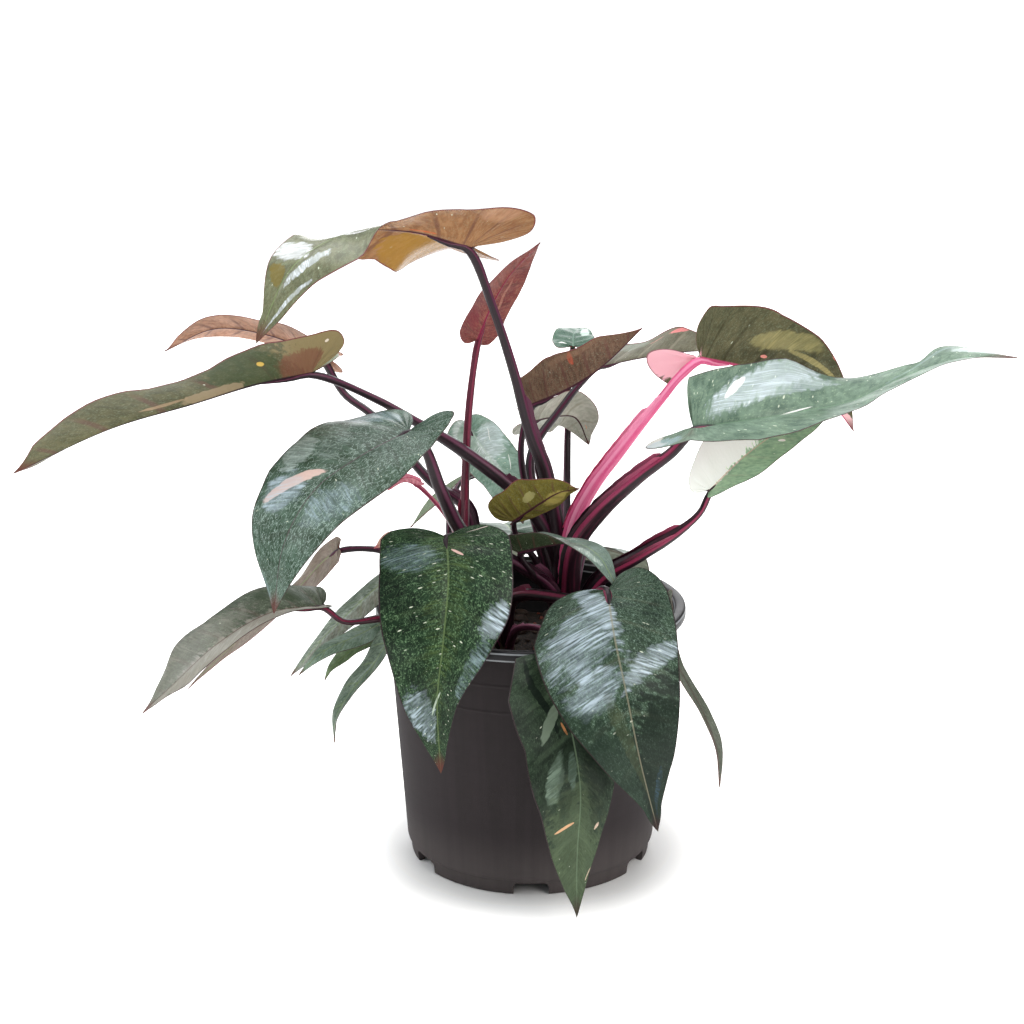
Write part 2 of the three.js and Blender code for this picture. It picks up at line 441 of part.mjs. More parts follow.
/** The middle surface of a blade: points, triangles and the ordered loop of its margin. */
function bladeSurface(leaf, seed) {
  const curve = new THREE.CatmullRomCurve3(leaf.spine.map(vector), false, "centripetal");
  const length = curve.getLength();
  const frames = framesAlong(curve, BLADE_FRAMES, vector(UP));
  const half = leaf.width / 2;

  const frameAt = (share) => {
    const place = Math.min(Math.max(share, 0), 1) * BLADE_FRAMES;
    const index = Math.min(Math.floor(place), BLADE_FRAMES - 1);
    const mix = (key) => frames[index][key].clone().lerp(frames[index + 1][key], place - index);
    return { centre: mix("centre"), tangent: mix("tangent"), normal: mix("normal"), side: mix("side") };
  };

  /** A point of one half, at a share of its width and a share of the blade's length. */
  const place = (side, across, along) => {
    const frame = frameAt(along);
    const rise = interpolate(side > 0 ? leaf.right : leaf.left, along) * DEG;
    const bend = leaf.curl * DEG * across;
    const angle = rise + bend / 2;
    const narrowing = 1 - leaf.slim * THREE.MathUtils.smoothstep(along, SLIM_START, SLIM_END);
    const reach = across * half * narrowing * (bend === 0 ? 1 : Math.sin(bend / 2) / (bend / 2));
    const point = frame.centre
      .addScaledVector(frame.side, side * reach * Math.cos(angle))
      .addScaledVector(frame.normal, reach * Math.sin(angle));
    if (along < 0) {
      const which = side > 0 ? 1 : 0;
      const back = leaf.lobes[which] * DEG;
      const lobe = -along * leaf.reach[which] * length;
      point.addScaledVector(frame.tangent, -lobe * Math.cos(back));
      point.addScaledVector(frame.normal, lobe * Math.sin(back));
    }
    const phase = seed * WAVE_LEAF_STEP + (side > 0 ? 0 : WAVE_SIDE_STEP);
    const wave = leaf.wave[0] * across ** 2 * Math.sin(along * leaf.wave[1] * 2 * Math.PI + phase);
    return point.addScaledVector(frame.normal, wave);
  };

  const points = [curve.getPointAt(0), curve.getPointAt(1)];
  const midrib = [];
  const rows = [];
  for (let i = 0; i < leaf.rows; i++) {
    const vein = outlineCurve.getPoint(i / leaf.rows);
    rows.push({ place: i / leaf.rows, across: vein.x, along: vein.y, foot: Math.max(vein.z, 0) });
    midrib.push(vein.z > 0.01 ? points.push(place(1, 0, vein.z)) - 1 : 0);
  }
  const index = { 1: [], [-1]: [] };
  for (const side of [1, -1]) {
    rows.forEach((row, i) => {
      index[side].push([midrib[i]]);
      for (let j = 1; j <= leaf.cells; j++) {
        const share = j / leaf.cells;
        const along = row.foot + (row.along - row.foot) * share ** VEIN_SWEEP;
        const full = interpolate(side > 0 ? leaf.fullRight : leaf.fullLeft, row.place);
        index[side][i].push(points.push(place(side, row.across * full * share, along)) - 1);
      }
    });
    index[side].push(Array(leaf.cells + 1).fill(1));
  }

  const triangles = [];
  const add = (a, b, c) => {
    if (a !== b && b !== c && a !== c) triangles.push([a, b, c]);
  };
  for (const side of [1, -1]) {
    for (let i = 0; i < leaf.rows; i++) {
      for (let j = 0; j < leaf.cells; j++) {
        const [a, b] = [index[side][i][j], index[side][i][j + 1]];
        const [c, d] = [index[side][i + 1][j], index[side][i + 1][j + 1]];
        if (side > 0) {
          add(a, b, d);
          add(a, d, c);
        } else {
          add(a, d, b);
          add(a, c, d);
        }
      }
    }
  }
  const edge = (side) => [
    ...index[side][0].slice(1),
    ...index[side].slice(1, -1).map((row) => row.at(-1)),
  ];
  return { points, triangles, loop: [0, ...edge(1), 1, ...edge(-1).reverse()] };
}

/** A blade of even thickness, split alike on both faces, its outline grown by a margin. */
function bladeGeometry(leaf, seed, thickness, margin = 0) {
  const { points, triangles, loop } = bladeSurface(leaf, seed);
  const normals = points.map(() => new THREE.Vector3());
  for (const [a, b, c] of triangles) {
    const face = points[b].clone().sub(points[a]).cross(points[c].clone().sub(points[a]));
    for (const corner of [a, b, c]) normals[corner].add(face);
  }
  normals.forEach((normal) => normal.normalize());
  const outward = loop.map((corner, i) => {
    const run = points[loop[(i + 1) % loop.length]].clone().sub(points[loop.at(i - 1)]);
    return run.cross(normals[corner]).setLength(margin);
  });
  loop.forEach((corner, i) => points[corner].add(outward[i]));
  const shifted = (distance) => points.map(
    (point, i) => point.clone().addScaledVector(normals[i], distance),
  );
  const count = points.length;
  const under = triangles.map(([a, b, c]) => [a + count, c + count, b + count]);
  const rim = loop.flatMap((a, i) => {
    const b = loop[(i + 1) % loop.length];
    return [[a, a + count, b + count], [a, b + count, b]];
  });
  const skin = [...shifted(thickness / 2), ...shifted(-thickness / 2)];
  return mesh(skin, [...triangles, ...under, ...rim]);
}

// ---------------------------------------------------------------- pot, soil and stems

/** Outside radius of the tapered pot wall at a height. */
function wallRadius(z) {
  const top = POT_HEIGHT - POT_LIP_DEPTH;
  return THREE.MathUtils.mapLinear(z, 0, top, POT_WALL_FOOT_RADIUS, POT_WALL_TOP_RADIUS);
}

/** A solid turned about the Z axis from [radius, height] points that start and end on the axis. */
function turned(profile, segments) {
  const lathe = new THREE.LatheGeometry(profile.map((point) => new THREE.Vector2(...point)), segments);
  return lathe.rotateX(Math.PI / 2);
}

/** The pot: rolled lip, tapered wall with two thin rings, floor plate and a notched foot ring. */
function potGeometry() {
  const plate = POT_FOOT_HEIGHT;
  const under = POT_HEIGHT - POT_LIP_DEPTH;
  const rings = STEP_RING_HEIGHTS.flatMap((z) => [
    [wallRadius(z - STEP_RING_HALF), z - STEP_RING_HALF],
    [wallRadius(z) + STEP_RING_RISE, z],
    [wallRadius(z + STEP_RING_HALF), z + STEP_RING_HALF],
  ]);
  const lip = [
    [wallRadius(under), under - 1], [POT_LIP_RADIUS - 1.5, under], [POT_LIP_RADIUS, under + 1.5],
    [POT_LIP_RADIUS, POT_HEIGHT - 1.8], [POT_LIP_RADIUS - 1.6, POT_HEIGHT - 0.3],
    [POT_LIP_RADIUS - 4, POT_HEIGHT], [POT_LIP_RADIUS - 8, POT_HEIGHT - 0.8],
    [wallRadius(under) - POT_WALL, under],
  ];
  const inside = [
    [wallRadius(plate + 5) - POT_WALL, plate + 5], [wallRadius(plate) - POT_WALL - 2, plate + POT_WALL],
    [0, plate + POT_WALL],
  ];
  const foot = [
    [0, plate], [POT_FOOT_RADIUS - 5, plate], [POT_FOOT_RADIUS - 4.4, 0], [POT_FOOT_RADIUS - 1.2, 0],
    [POT_FOOT_RADIUS, 1.5], [POT_FOOT_RADIUS + 0.8, plate], [wallRadius(plate + 3), plate + 3],
  ];
  let pot = solid(turned([...foot, ...rings, ...lip, ...inside], POT_SEGMENTS));
  for (let k = 0; k < NOTCH_COUNT; k++) {
    const angle = (2 * Math.PI * k) / NOTCH_COUNT;
    const notch = new THREE.BoxGeometry(NOTCH_WIDTH, NOTCH_DEPTH, 2 * plate)
      .translate(0, -POT_FOOT_RADIUS, -NOTCH_ROOF);
    const drain = new THREE.CylinderGeometry(DRAIN_RADIUS, DRAIN_RADIUS, 4 * POT_WALL, DRAIN_SIDES)
      .rotateX(Math.PI / 2)
      .translate(0, -DRAIN_CIRCLE, plate);
    pot = pot.subtract(solid(notch.rotateZ(angle))).subtract(solid(drain.rotateZ(angle)));
  }
  return geometryOf(pot);
}

/** A stem's bar, grown on every side and lengthened downwards by a margin. */
function stemBar(stem, margin) {
  const [[x, y, z], ...rest] = stem.path;
  const thick = stem.thick.map((radius) => radius + margin);
  return taperedBar([[x, y, z - margin], ...rest], thick, STEM_SIDES, STEM_STEPS);
}

/** The potting mix: filled up to a low uneven mound, with a plain hole for each stem. */
function soilGeometry() {
  const edge = (z) => wallRadius(z) - POT_WALL - 2 * GAP;
  const body = turned([
    [0, SOIL_BOTTOM], [edge(SOIL_BOTTOM) - 3, SOIL_BOTTOM], [edge(SOIL_BOTTOM + 6), SOIL_BOTTOM + 6],
    [edge(SOIL_TOP - 3), SOIL_TOP - 3], [80, SOIL_TOP - 1], [60, SOIL_TOP], [38, SOIL_TOP + 1],
    [18, SOIL_TOP + 2], [0, SOIL_TOP + 2],
  ], SOIL_SEGMENTS);
  const at = body.attributes.position;
  for (let i = 0; i < at.count; i++) {
    const lump = SOIL_LUMP * Math.sin(0.13 * at.getX(i) + 1) * Math.cos(0.11 * at.getY(i));
    if (at.getZ(i) > SOIL_TOP - 2) at.setZ(i, at.getZ(i) + lump);
  }
  const filled = solid(body);
  const holes = Object.values(STEMS).map((stem) => solid(stemBar(stem, GAP)));
  return geometryOf(holes.reduce((soil, hole) => soil.subtract(hole), filled));
}

/** A stem with its leaf stalks grown out of it, each stalk cut off just under its blade. */
function stemGeometry(key) {
  let plant = solid(stemBar(STEMS[key], 0));
  LEAVES.forEach((leaf, seed) => {
    if (leaf.stem !== key) return;
    const points = [...leaf.stalk, leaf.spine[0]];
    const steps = Math.round(STALK_STEPS * points.length);
    plant = plant.add(solid(taperedBar(points, leaf.thick, STALK_SIDES, steps)));
    plant = plant.subtract(solid(bladeGeometry(leaf, seed, BLADE_THICKNESS + 2 * GAP, GAP)));
  });
  return geometryOf(mainBody(plant));
}

// ---------------------------------------------------------------- assembly

const group = new THREE.Group();

/** Adds a named piece with its own material. */
function addPiece(name, geometry, colour, roughness) {
  const material = new THREE.MeshStandardMaterial({ color: COLOURS[colour], roughness, metalness: 0 });
  const piece = new THREE.Mesh(geometry, material);
  piece.name = name;
  group.add(piece);
}

addPiece("pot", potGeometry(), "pot", ROUGHNESS.pot);
addPiece("soil", soilGeometry(), "soil", ROUGHNESS.soil);
Object.keys(STEMS).forEach((key) => {
  addPiece(`stem_${key}`, stemGeometry(key), "stem", ROUGHNESS.stem);
});
LEAVES.forEach((leaf, seed) => {
  const geometry = bladeGeometry(leaf, seed, BLADE_THICKNESS);
  addPiece(`blade_${leaf.name}`, geometry, leaf.colour, ROUGHNESS.blade);
});

export default group;
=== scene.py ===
"""Dresses a potted pink princess philodendron: leaves, stalks, stems, potting mix and pot."""

from __future__ import annotations

import logging
import math
from collections.abc import Sequence
from dataclasses import dataclass, field, replace
from enum import Enum
from typing import Any

import bmesh
import bpy
import numpy as np
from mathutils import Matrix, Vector


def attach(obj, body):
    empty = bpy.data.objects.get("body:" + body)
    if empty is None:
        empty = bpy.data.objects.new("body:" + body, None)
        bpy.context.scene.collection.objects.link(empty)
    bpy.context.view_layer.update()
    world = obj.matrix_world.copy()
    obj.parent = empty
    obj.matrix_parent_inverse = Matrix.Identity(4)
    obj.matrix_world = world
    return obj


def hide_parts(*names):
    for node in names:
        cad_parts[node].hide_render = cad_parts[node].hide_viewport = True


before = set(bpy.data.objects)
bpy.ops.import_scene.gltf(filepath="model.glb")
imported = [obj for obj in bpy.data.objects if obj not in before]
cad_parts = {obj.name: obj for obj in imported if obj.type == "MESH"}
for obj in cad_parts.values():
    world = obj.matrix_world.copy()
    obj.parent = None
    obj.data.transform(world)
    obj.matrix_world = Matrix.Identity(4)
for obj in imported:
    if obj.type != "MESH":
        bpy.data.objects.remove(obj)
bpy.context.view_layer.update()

MM = 0.001
BODY = "root"
ROWS_MAP = "rows"  # (place along the margin, signed share of the way from the midrib)
SPAN_MAP = "span"  # (centimetres along the midrib, signed centimetres across)
SIDE_VEINS = 11.0  # pairs of side veins on a blade
log = logging.getLogger("philodendron")

Point = tuple[float, float, float]
Pair = tuple[float, float]


# ------------ shader arithmetic


def linear(colour: str) -> tuple[float, float, float, float]:
    """Turns a written colour into the linear values that Blender works with.

    Args:
        colour: A colour such as "#3d5a45".

    Returns:
        Linear red, green, blue and an alpha of 1.
    """
    parts = [int(colour[i : i + 2], 16) / 255 for i in (1, 3, 5)]
    bent = [c / 12.92 if c <= 0.04045 else ((c + 0.055) / 1.055) ** 2.4 for c in parts]
    return (bent[0], bent[1], bent[2], 1.0)


class Signal:
    """An output socket that takes part in Python arithmetic."""

    def __init__(self, network: Network, socket: bpy.types.NodeSocket) -> None:
        """Holds a socket and the network that it belongs to."""
        self.network = network
        self.socket = socket

    def __add__(self, other: Signal | float) -> Signal:
        """Adds a value."""
        return self.network.maths("ADD", self, other)

    def __radd__(self, other: float) -> Signal:
        """Is added to a value."""
        return self.network.maths("ADD", other, self)

    def __sub__(self, other: Signal | float) -> Signal:
        """Subtracts a value."""
        return self.network.maths("SUBTRACT", self, other)

    def __rsub__(self, other: float) -> Signal:
        """Is subtracted from a value."""
        return self.network.maths("SUBTRACT", other, self)

    def __mul__(self, other: Signal | float) -> Signal:
        """Multiplies by a value."""
        return self.network.maths("MULTIPLY", self, other)

    def __rmul__(self, other: float) -> Signal:
        """Multiplies a value."""
        return self.network.maths("MULTIPLY", other, self)

    def __truediv__(self, other: Signal | float) -> Signal:
        """Divides by a value."""
        return self.network.maths("DIVIDE", self, other)

    def __abs__(self) -> Signal:
        """Drops the sign."""
        return self.network.maths("ABSOLUTE", self)

    def waves(self) -> Signal:
        """Is the cosine of the value taken as turns."""
        return self.network.maths("COSINE", self * math.tau)

    def highest(self, other: Signal | float) -> Signal:
        """Is the larger of two values."""
        return self.network.maths("MAXIMUM", self, other)

    def ramp(self, start: float, end: float) -> Signal:
        """Rises smoothly from 0 to 1, or falls where end is below start.

        Args:
            start: Where the result is 0.
            end: Where it is 1.

        Returns:
            The eased value.
        """
        low, high, flip = (start, end, False) if start < end else (end, start, True)
        made = self.network.node(
            "ShaderNodeMapRange",
            {"interpolation_type": "SMOOTHSTEP"},
            {"Value": self, "From Min": low, "From Max": high},
        )["Result"]
        return 1.0 - made if flip else made


class Network:
    """The node tree of one material, or of the surroundings."""

    def __init__(self, owner: bpy.types.Material | bpy.types.World) -> None:
        """Empties the node tree of its owner, a material or the surroundings."""
        owner.use_nodes = True
        self.owner = owner
        self.tree = owner.node_tree
        self.tree.nodes.clear()

    def node(
        self, kind: str, settings: dict[str, Any], values: dict[str | int, Any]
    ) -> dict[str | int, Signal]:
        """Makes a node.

        Args:
            kind: The node's type.
            settings: Its options, set first; "stops" is a ramp's places and colours.
            values: What goes into its sockets, by name or number: a constant or a Signal.

        Returns:
            Its outputs, by name and by number.
        """
        made = self.tree.nodes.new(kind)
        for key, value in settings.items():
            if key == "stops":
                for place, colour in value[1:-1]:
                    made.color_ramp.elements.new(place).color = colour
                ends = (made.color_ramp.elements[0], made.color_ramp.elements[-1])
                for end, (place, colour) in zip(ends, (value[0], value[-1])):
                    end.position = place
                    end.color = colour
            else:
                setattr(made, key, value)
        for key, value in values.items():
            named = key if isinstance(key, int) else made.inputs.find(key)
            if isinstance(value, Signal):
                self.tree.links.new(value.socket, made.inputs[named])
            else:
                made.inputs[named].default_value = value
        outputs: dict[str | int, Signal] = {}
        for index, socket in enumerate(made.outputs):
            outputs[index] = Signal(self, socket)
            outputs.setdefault(socket.name, outputs[index])
        return outputs

    def maths(self, operation: str, *values: Signal | float) -> Signal:
        """Works on one or two numbers with a Math node."""
        return self.node("ShaderNodeMath", {"operation": operation}, dict(enumerate(values)))[0]

    def blend(
        self, share: Signal | float, under: Signal | str, over: Signal | str
    ) -> Signal:
        """Lays one colour over another.

        Args:
            share: How much of the upper colour shows.
            under: The colour below, written or a Signal.
            over: The colour on top, written or a Signal.

        Returns:
            The mixed colour.
        """
        below, above = (linear(c) if isinstance(c, str) else c for c in (under, over))
        sockets = {0: share, 6: below, 7: above}
        return self.node("ShaderNodeMix", {"data_type": "RGBA"}, sockets)[2]

    def map(self, name: str) -> tuple[Signal, Signal]:
        """Reads the two values of a named surface map."""
        return self.axes(self.node("ShaderNodeUVMap", {"uv_map": name}, {})[0])[:2]

    def place(self) -> Signal:
        """Is the point on the object, in metres."""
        return self.node("ShaderNodeTexCoord", {}, {})["Object"]

    def axes(self, vector: Signal) -> tuple[Signal, Signal, Signal]:
        """Splits a vector into x, y and z."""
        split = self.node("ShaderNodeSeparateXYZ", {}, {0: vector})
        return split[0], split[1], split[2]

    def vector(self, x: Signal | float, y: Signal | float, z: Signal | float) -> Signal:
        """Joins three values into a vector."""
        return self.node("ShaderNodeCombineXYZ", {}, {0: x, 1: y, 2: z})[0]

    def noise(self, where: Signal, scale: float, detail: float = 2.0) -> Signal:
        """Is smooth noise from 0 to 1, fairly even about a half."""
        values = {"Vector": where, "Scale": scale, "Detail": detail}
        return self.node("ShaderNodeTexNoise", {}, values)[0]

    def streaks(
        self, x: Signal | float, y: Signal | float, shift: float, detail: float = 3.0
    ) -> Signal:
        """Is noise over two stretched values, with another pattern for each shift."""
        return self.noise(self.vector(x, y, shift), 1.0, detail)

    def finish(
        self,
        colour: Signal,
        roughness: Signal | float,
        relief: Signal | None = None,
        depth: float = 0.0,
        **constants: float,
    ) -> bpy.types.Material:
        """Closes the network with a shader.

        Args:
            colour: The base colour.
            roughness: The roughness.
            relief: Height for a bump, from 0 to 1.
            depth: The height of that bump in metres.
            **constants: The shader's other sockets, with _ for a space.

        Returns:
            The material.
        """
        values: dict[str | int, Any] = {"Base Color": colour, "Roughness": roughness}
        values.update({key.replace("_", " "): value for key, value in constants.items()})
        if relief is not None:
            values["Normal"] = self.node(
                "ShaderNodeBump", {}, {"Strength": 1.0, "Distance": depth, "Height": relief}
            )[0]
        shader = self.node("ShaderNodeBsdfPrincipled", {}, values)[0]
        self.node("ShaderNodeOutputMaterial", {}, {"Surface": shader})
        return self.owner


# ------------ finishes


class Face(Enum):
    """A side of a blade."""

    TOP = "top"
    UNDER = "under"


class Slot(Enum):
    """A material slot of the record."""

    POT = "pot"
    SOIL = "soil"
    STEM = "stem"
    GREEN = "blade_green"
    OLIVE = "blade_olive"
    BROWN = "blade_brown"
    RED = "blade_red"
    GREY = "blade_grey"
    PALE = "blade_pale"
    PINK = "blade_pink"


@dataclass(frozen=True)
class Patch:
    """A sector or spot of another colour on a blade. Many are painted light: pale bluish streaky ones are a
    painted sheen, near-black ones a painted shade.

    row is its middle along the margin, from the lobe at 0 to the tip at 1, and share its middle
    between the midrib at 0 and the margin, at 1 on the right half and at -1 on the left half.
    rows and shares are how far it reaches each way. streaky is how far it breaks up into fine
    streaks along the side veins, and slant how much its row grows with the share. A patch with no
    face shows on both.
    """

    row: float
    share: float
    rows: float
    shares: float
    colour: str
    strength: float = 1.0
    streaky: float = 0.0
    slant: float = 0.0
    face: Face | None = Face.TOP


@dataclass(frozen=True)
class LeafFinish:
    """Colours of a blade: each face with its darker mottling, midrib, veins, margin and tip, a painted
    sheen of pale lines along the wrinkles on top, and a faint painted glow.
    """

    top: str = "#3f5d49"
    top_dark: str = "#243a2c"
    under: str = "#77704c"
    under_dark: str = "#5a5738"
    midrib: str = "#7c8f5c"
    midrib_under: str = "#3d1f2a"
    vein_under: str = "#5a3a36"
    margin: str = "#6e3038"
    tip: str = "#5c2b26"
    fleck: str = "#a9bf9d"
    flecks: float = 0.3
    veined: float = 0.08
    wrinkle_sheen: float = 0.15
    specks: float = 0.05
    gloss: float = 0.2
    # glow is a painted glow: the blade gives off light in its own colour, in place of light that passes
    # through it.
    glow: float = 0.1
    # The streaks in a patch mostly break up a painted sheen.
    comb: Pair = (230.0, 3.0)  # how fine the streaks in a patch are, along the margin and across
    speck: str = "#d8dfc8"
    rib_top: float = 0.11  # centimetres
    rib_under: float = 0.17
    relief: float = 0.45  # millimetres

    def dress(
        self, name: str, face: Face, seed: int, patches: Sequence[Patch]
    ) -> bpy.types.Material:
        """Makes the material of one face.

        Args:
            name: Its name.
            face: The face that it covers.
            seed: A number that tells one leaf's pattern from another's.
            patches: The blade's sectors and spots of other colours, with painted sheens and painted shade
                among them.

        Returns:
            The material.
        """
        net = Network(bpy.data.materials.new(name))
        row, signed = net.map(ROWS_MAP)
        along, across = net.map(SPAN_MAP)
        share = abs(signed)
        on_top = face is Face.TOP
        streaks = net.streaks(row * 90.0, signed * 5.0, float(seed))
        grain = net.streaks(row * 330.0, signed * 34.0, seed + 0.5)
        clouds = net.noise(net.vector(along, across, seed * 3.0), 0.55, 2.0)
        tone = clouds.ramp(0.3, 0.7) * 0.45 + streaks.ramp(0.35, 0.65) * 0.55
        colour = net.blend(
            tone,
            self.top_dark if on_top else self.under_dark,
            self.top if on_top else self.under,
        )
        vein = (row * SIDE_VEINS).waves().ramp(0.86, 1.0) * share.ramp(1.0, 0.55)
        if on_top:
            pale = grain.ramp(0.54, 0.74) * self.flecks * clouds.ramp(0.25, 0.6)
            colour = net.blend(pale, colour, self.fleck)
            colour = net.blend(vein * self.veined, colour, self.midrib)
            # A painted sheen: pale lines along a network of wrinkles, where they catch the light.
            wrinkle = net.streaks(row * 64.0, signed * 13.0, seed + 4.0)
            wrinkle_sheen_lines = abs(wrinkle - 0.5).ramp(0.028, 0.0) * self.wrinkle_sheen
            colour = net.blend(wrinkle_sheen_lines, colour, self.fleck)
        else:
            colour = net.blend(grain.ramp(0.5, 0.7) * 0.15, colour, self.fleck)
            colour = net.blend(vein * 0.55, colour, self.vein_under)
        colour = self._speckle(net, colour, row, signed, seed)
        shown = [patch for patch in patches if patch.face in (None, face)]
        colour = self._patched(net, colour, row, signed, streaks, shown)
        width = self.rib_top if on_top else self.rib_under
        narrow = width - row * width * 0.75
        rib = (abs(across) / narrow).ramp(1.3, 0.6)
        strength = 0.6 if on_top else 0.95
        colour = net.blend(rib * strength, colour, self.midrib if on_top else self.midrib_under)
        edge = share.ramp(0.972, 0.992)
        colour = net.blend(edge * 0.85, colour, self.margin)
        colour = net.blend(row.ramp(0.93, 0.985) * 0.8, colour, self.tip)
        roughness = 0.34 + streaks * 0.16 - self.gloss * 0.3
        relief = streaks * 0.55 + grain * 0.2 + clouds * 0.25
        # The emission is the painted glow, in the blade's own colour.
        return net.finish(
            colour, roughness, relief, self.relief * MM,
            Specular_IOR_Level=0.12 if on_top else 0.08, Coat_IOR=1.35, Coat_Roughness=0.2,
            Coat_Weight=self.gloss if on_top else self.gloss * 0.25,
            Emission_Color=colour, Emission_Strength=self.glow,
        )

    def _speckle(
        self, net: Network, colour: Signal, row: Signal, signed: Signal, seed: int
    ) -> Signal:
        """Scatters short white dashes that follow the side veins.

        Args:
            net: The material's network.
            colour: The colour so far.
            row: The place along the margin.
            signed: The share from the midrib.
            seed: The leaf's number.

        Returns:
            The colour with the dashes.
        """
        where = net.vector(row * 230.0, signed * 10.0, float(seed))
        cells = net.node("ShaderNodeTexVoronoi", {}, {"Vector": where, "Scale": 1.0})
        pick, shrink, _ = net.axes(cells["Color"])
        rarity = 1.0 - self.specks * 0.2
        chosen = pick.ramp(rarity, rarity + 0.01)
        dash = (cells["Distance"] + shrink * 0.2).ramp(0.42, 0.24)
        return net.blend(dash * chosen * 0.85, colour, self.speck)

    def _patched(
        self,
        net: Network,
        colour: Signal,
        row: Signal,
        signed: Signal,
        streaks: Signal,
        patches: Sequence[Patch],
    ) -> Signal:
        """Lays sectors and spots over the colour, painted sheens and painted shade among them.

        Args:
            net: The material's network.
            colour: The colour so far.
            row: The place along the margin.
            signed: The share from the midrib.
            streaks: The noise that makes their edges ragged.
            patches: The sectors and spots of this face.

        Returns:
            The colour with the patches.
        """
        lengthwise, crosswise = self.comb
        fine = net.streaks(row * lengthwise, signed * crosswise, 7.0, 2.0)
        broad = net.streaks(row * (lengthwise * 0.24), signed * (crosswise * 0.53), 9.0, 2.0)
        combed = fine.ramp(0.38, 0.64) * (0.25 + broad.ramp(0.4, 0.62) * 0.75)
        for patch in patches:
            beside = signed - patch.share
            x = (row - patch.row - beside * patch.slant) / patch.rows
            y = beside / patch.shares
            ragged = 1.2 + patch.streaky * 2.0
            far = x * x + y * y + (streaks - 0.5) * ragged
            inside = far.ramp(1.05 + patch.streaky * 0.4, 0.85 - patch.streaky * 0.5)
            if patch.streaky > 0:
                inside = inside * (combed * patch.streaky + (1.0 - patch.streaky))
            colour = net.blend(inside * patch.strength, colour, patch.colour)
        return colour


@dataclass(frozen=True)
class StalkFinish:
    """Colours of a leaf stalk: its skin, the paler edges of its groove, partly their own colour and partly
    a painted highlight, and the freckles on it.
    """

    skin: str = "#1c0f16"
    edge: str = "#5c2440"
    freckle: str = "#38202b"
    blush: float = 0.2
    edge_turn: float = 0.16  # where the groove's edges lie, in turns from its middle

    def dress(self, name: str) -> bpy.types.Material:
        """Makes the material.

        Args:
            name: Its name.

        Returns:
            The material.
        """
        net = Network(bpy.data.materials.new(name))
        along, around = net.map(ROWS_MAP)
        streak = net.streaks(along * 9.0, around * 26.0, 0.0)
        fine = net.noise(net.place(), 900.0, 2.0)
        colour = net.blend(streak.ramp(0.35, 0.75) * 0.35, self.skin, self.freckle)
        # The groove's paler edges are partly their own colour and partly a painted highlight along the top
        # of the stalk.
        beside = abs(around) - self.edge_turn
        edge = beside.ramp(-0.075, -0.02) * beside.ramp(0.075, 0.02)
        colour = net.blend(edge * 0.85, colour, self.edge)
        colour = net.blend(streak.ramp(0.5, 0.8) * self.blush, colour, self.edge)
        colour = net.blend(fine.ramp(0.58, 0.7) * 0.35, colour, self.freckle)
        roughness = 0.3 + fine * 0.18
        return net.finish(
            colour, roughness, streak * 0.7 + fine * 0.3, 0.25 * MM,
            Specular_IOR_Level=0.25, Coat_Weight=0.12, Coat_Roughness=0.2,
        )


@dataclass(frozen=True)
class SheathFinish:
    """Colours of the thin wings beside a stalk's groove."""

    skin: str = "#6b2f47"
    dry: str = "#9a7a5e"
    dark: str = "#2a1820"
    dryness: float = 0.35

    def dress(self, name: str) -> bpy.types.Material:
        """Makes the material.

        Args:
            name: Its name.

        Returns:
            The material.
        """
        net = Network(bpy.data.materials.new(name))
        along, around = net.map(ROWS_MAP)
        streak = net.streaks(along * 5.0, around * 40.0, 0.0)
        dry = (streak * 0.5 + along * 0.5).ramp(0.85 - self.dryness, 1.1 - self.dryness)
        colour = net.blend(dry, self.skin, self.dry)
        colour = net.blend(streak.ramp(0.55, 0.8) * 0.3, colour, self.dark)
        return net.finish(colour, 0.4 + streak * 0.25, streak, 0.3 * MM)


@dataclass(frozen=True)
class StemFinish:
    """Colours of a rooted stem: green-brown bark with darker rings where leaves stood."""

    bark: str = "#4a3f2c"
    dark: str = "#2b2018"
    cork: str = "#7a6648"

    def dress(self, name: str) -> bpy.types.Material:
        """Makes the material.

        Args:
            name: Its name.

        Returns:
            The material.
        """
        net = Network(bpy.data.materials.new(name))
        along, around = net.map(ROWS_MAP)
        rough = net.streaks(along * 30.0, around * 9.0, 0.0, 4.0)
        fine = net.noise(net.place(), 500.0, 3.0)
        colour = net.blend(rough.ramp(0.35, 0.7), self.bark, self.dark)
        colour = net.blend(fine.ramp(0.55, 0.75) * 0.5, colour, self.cork)
        return net.finish(colour, 0.6 + fine * 0.25, rough * 0.6 + fine * 0.4, 0.8 * MM)


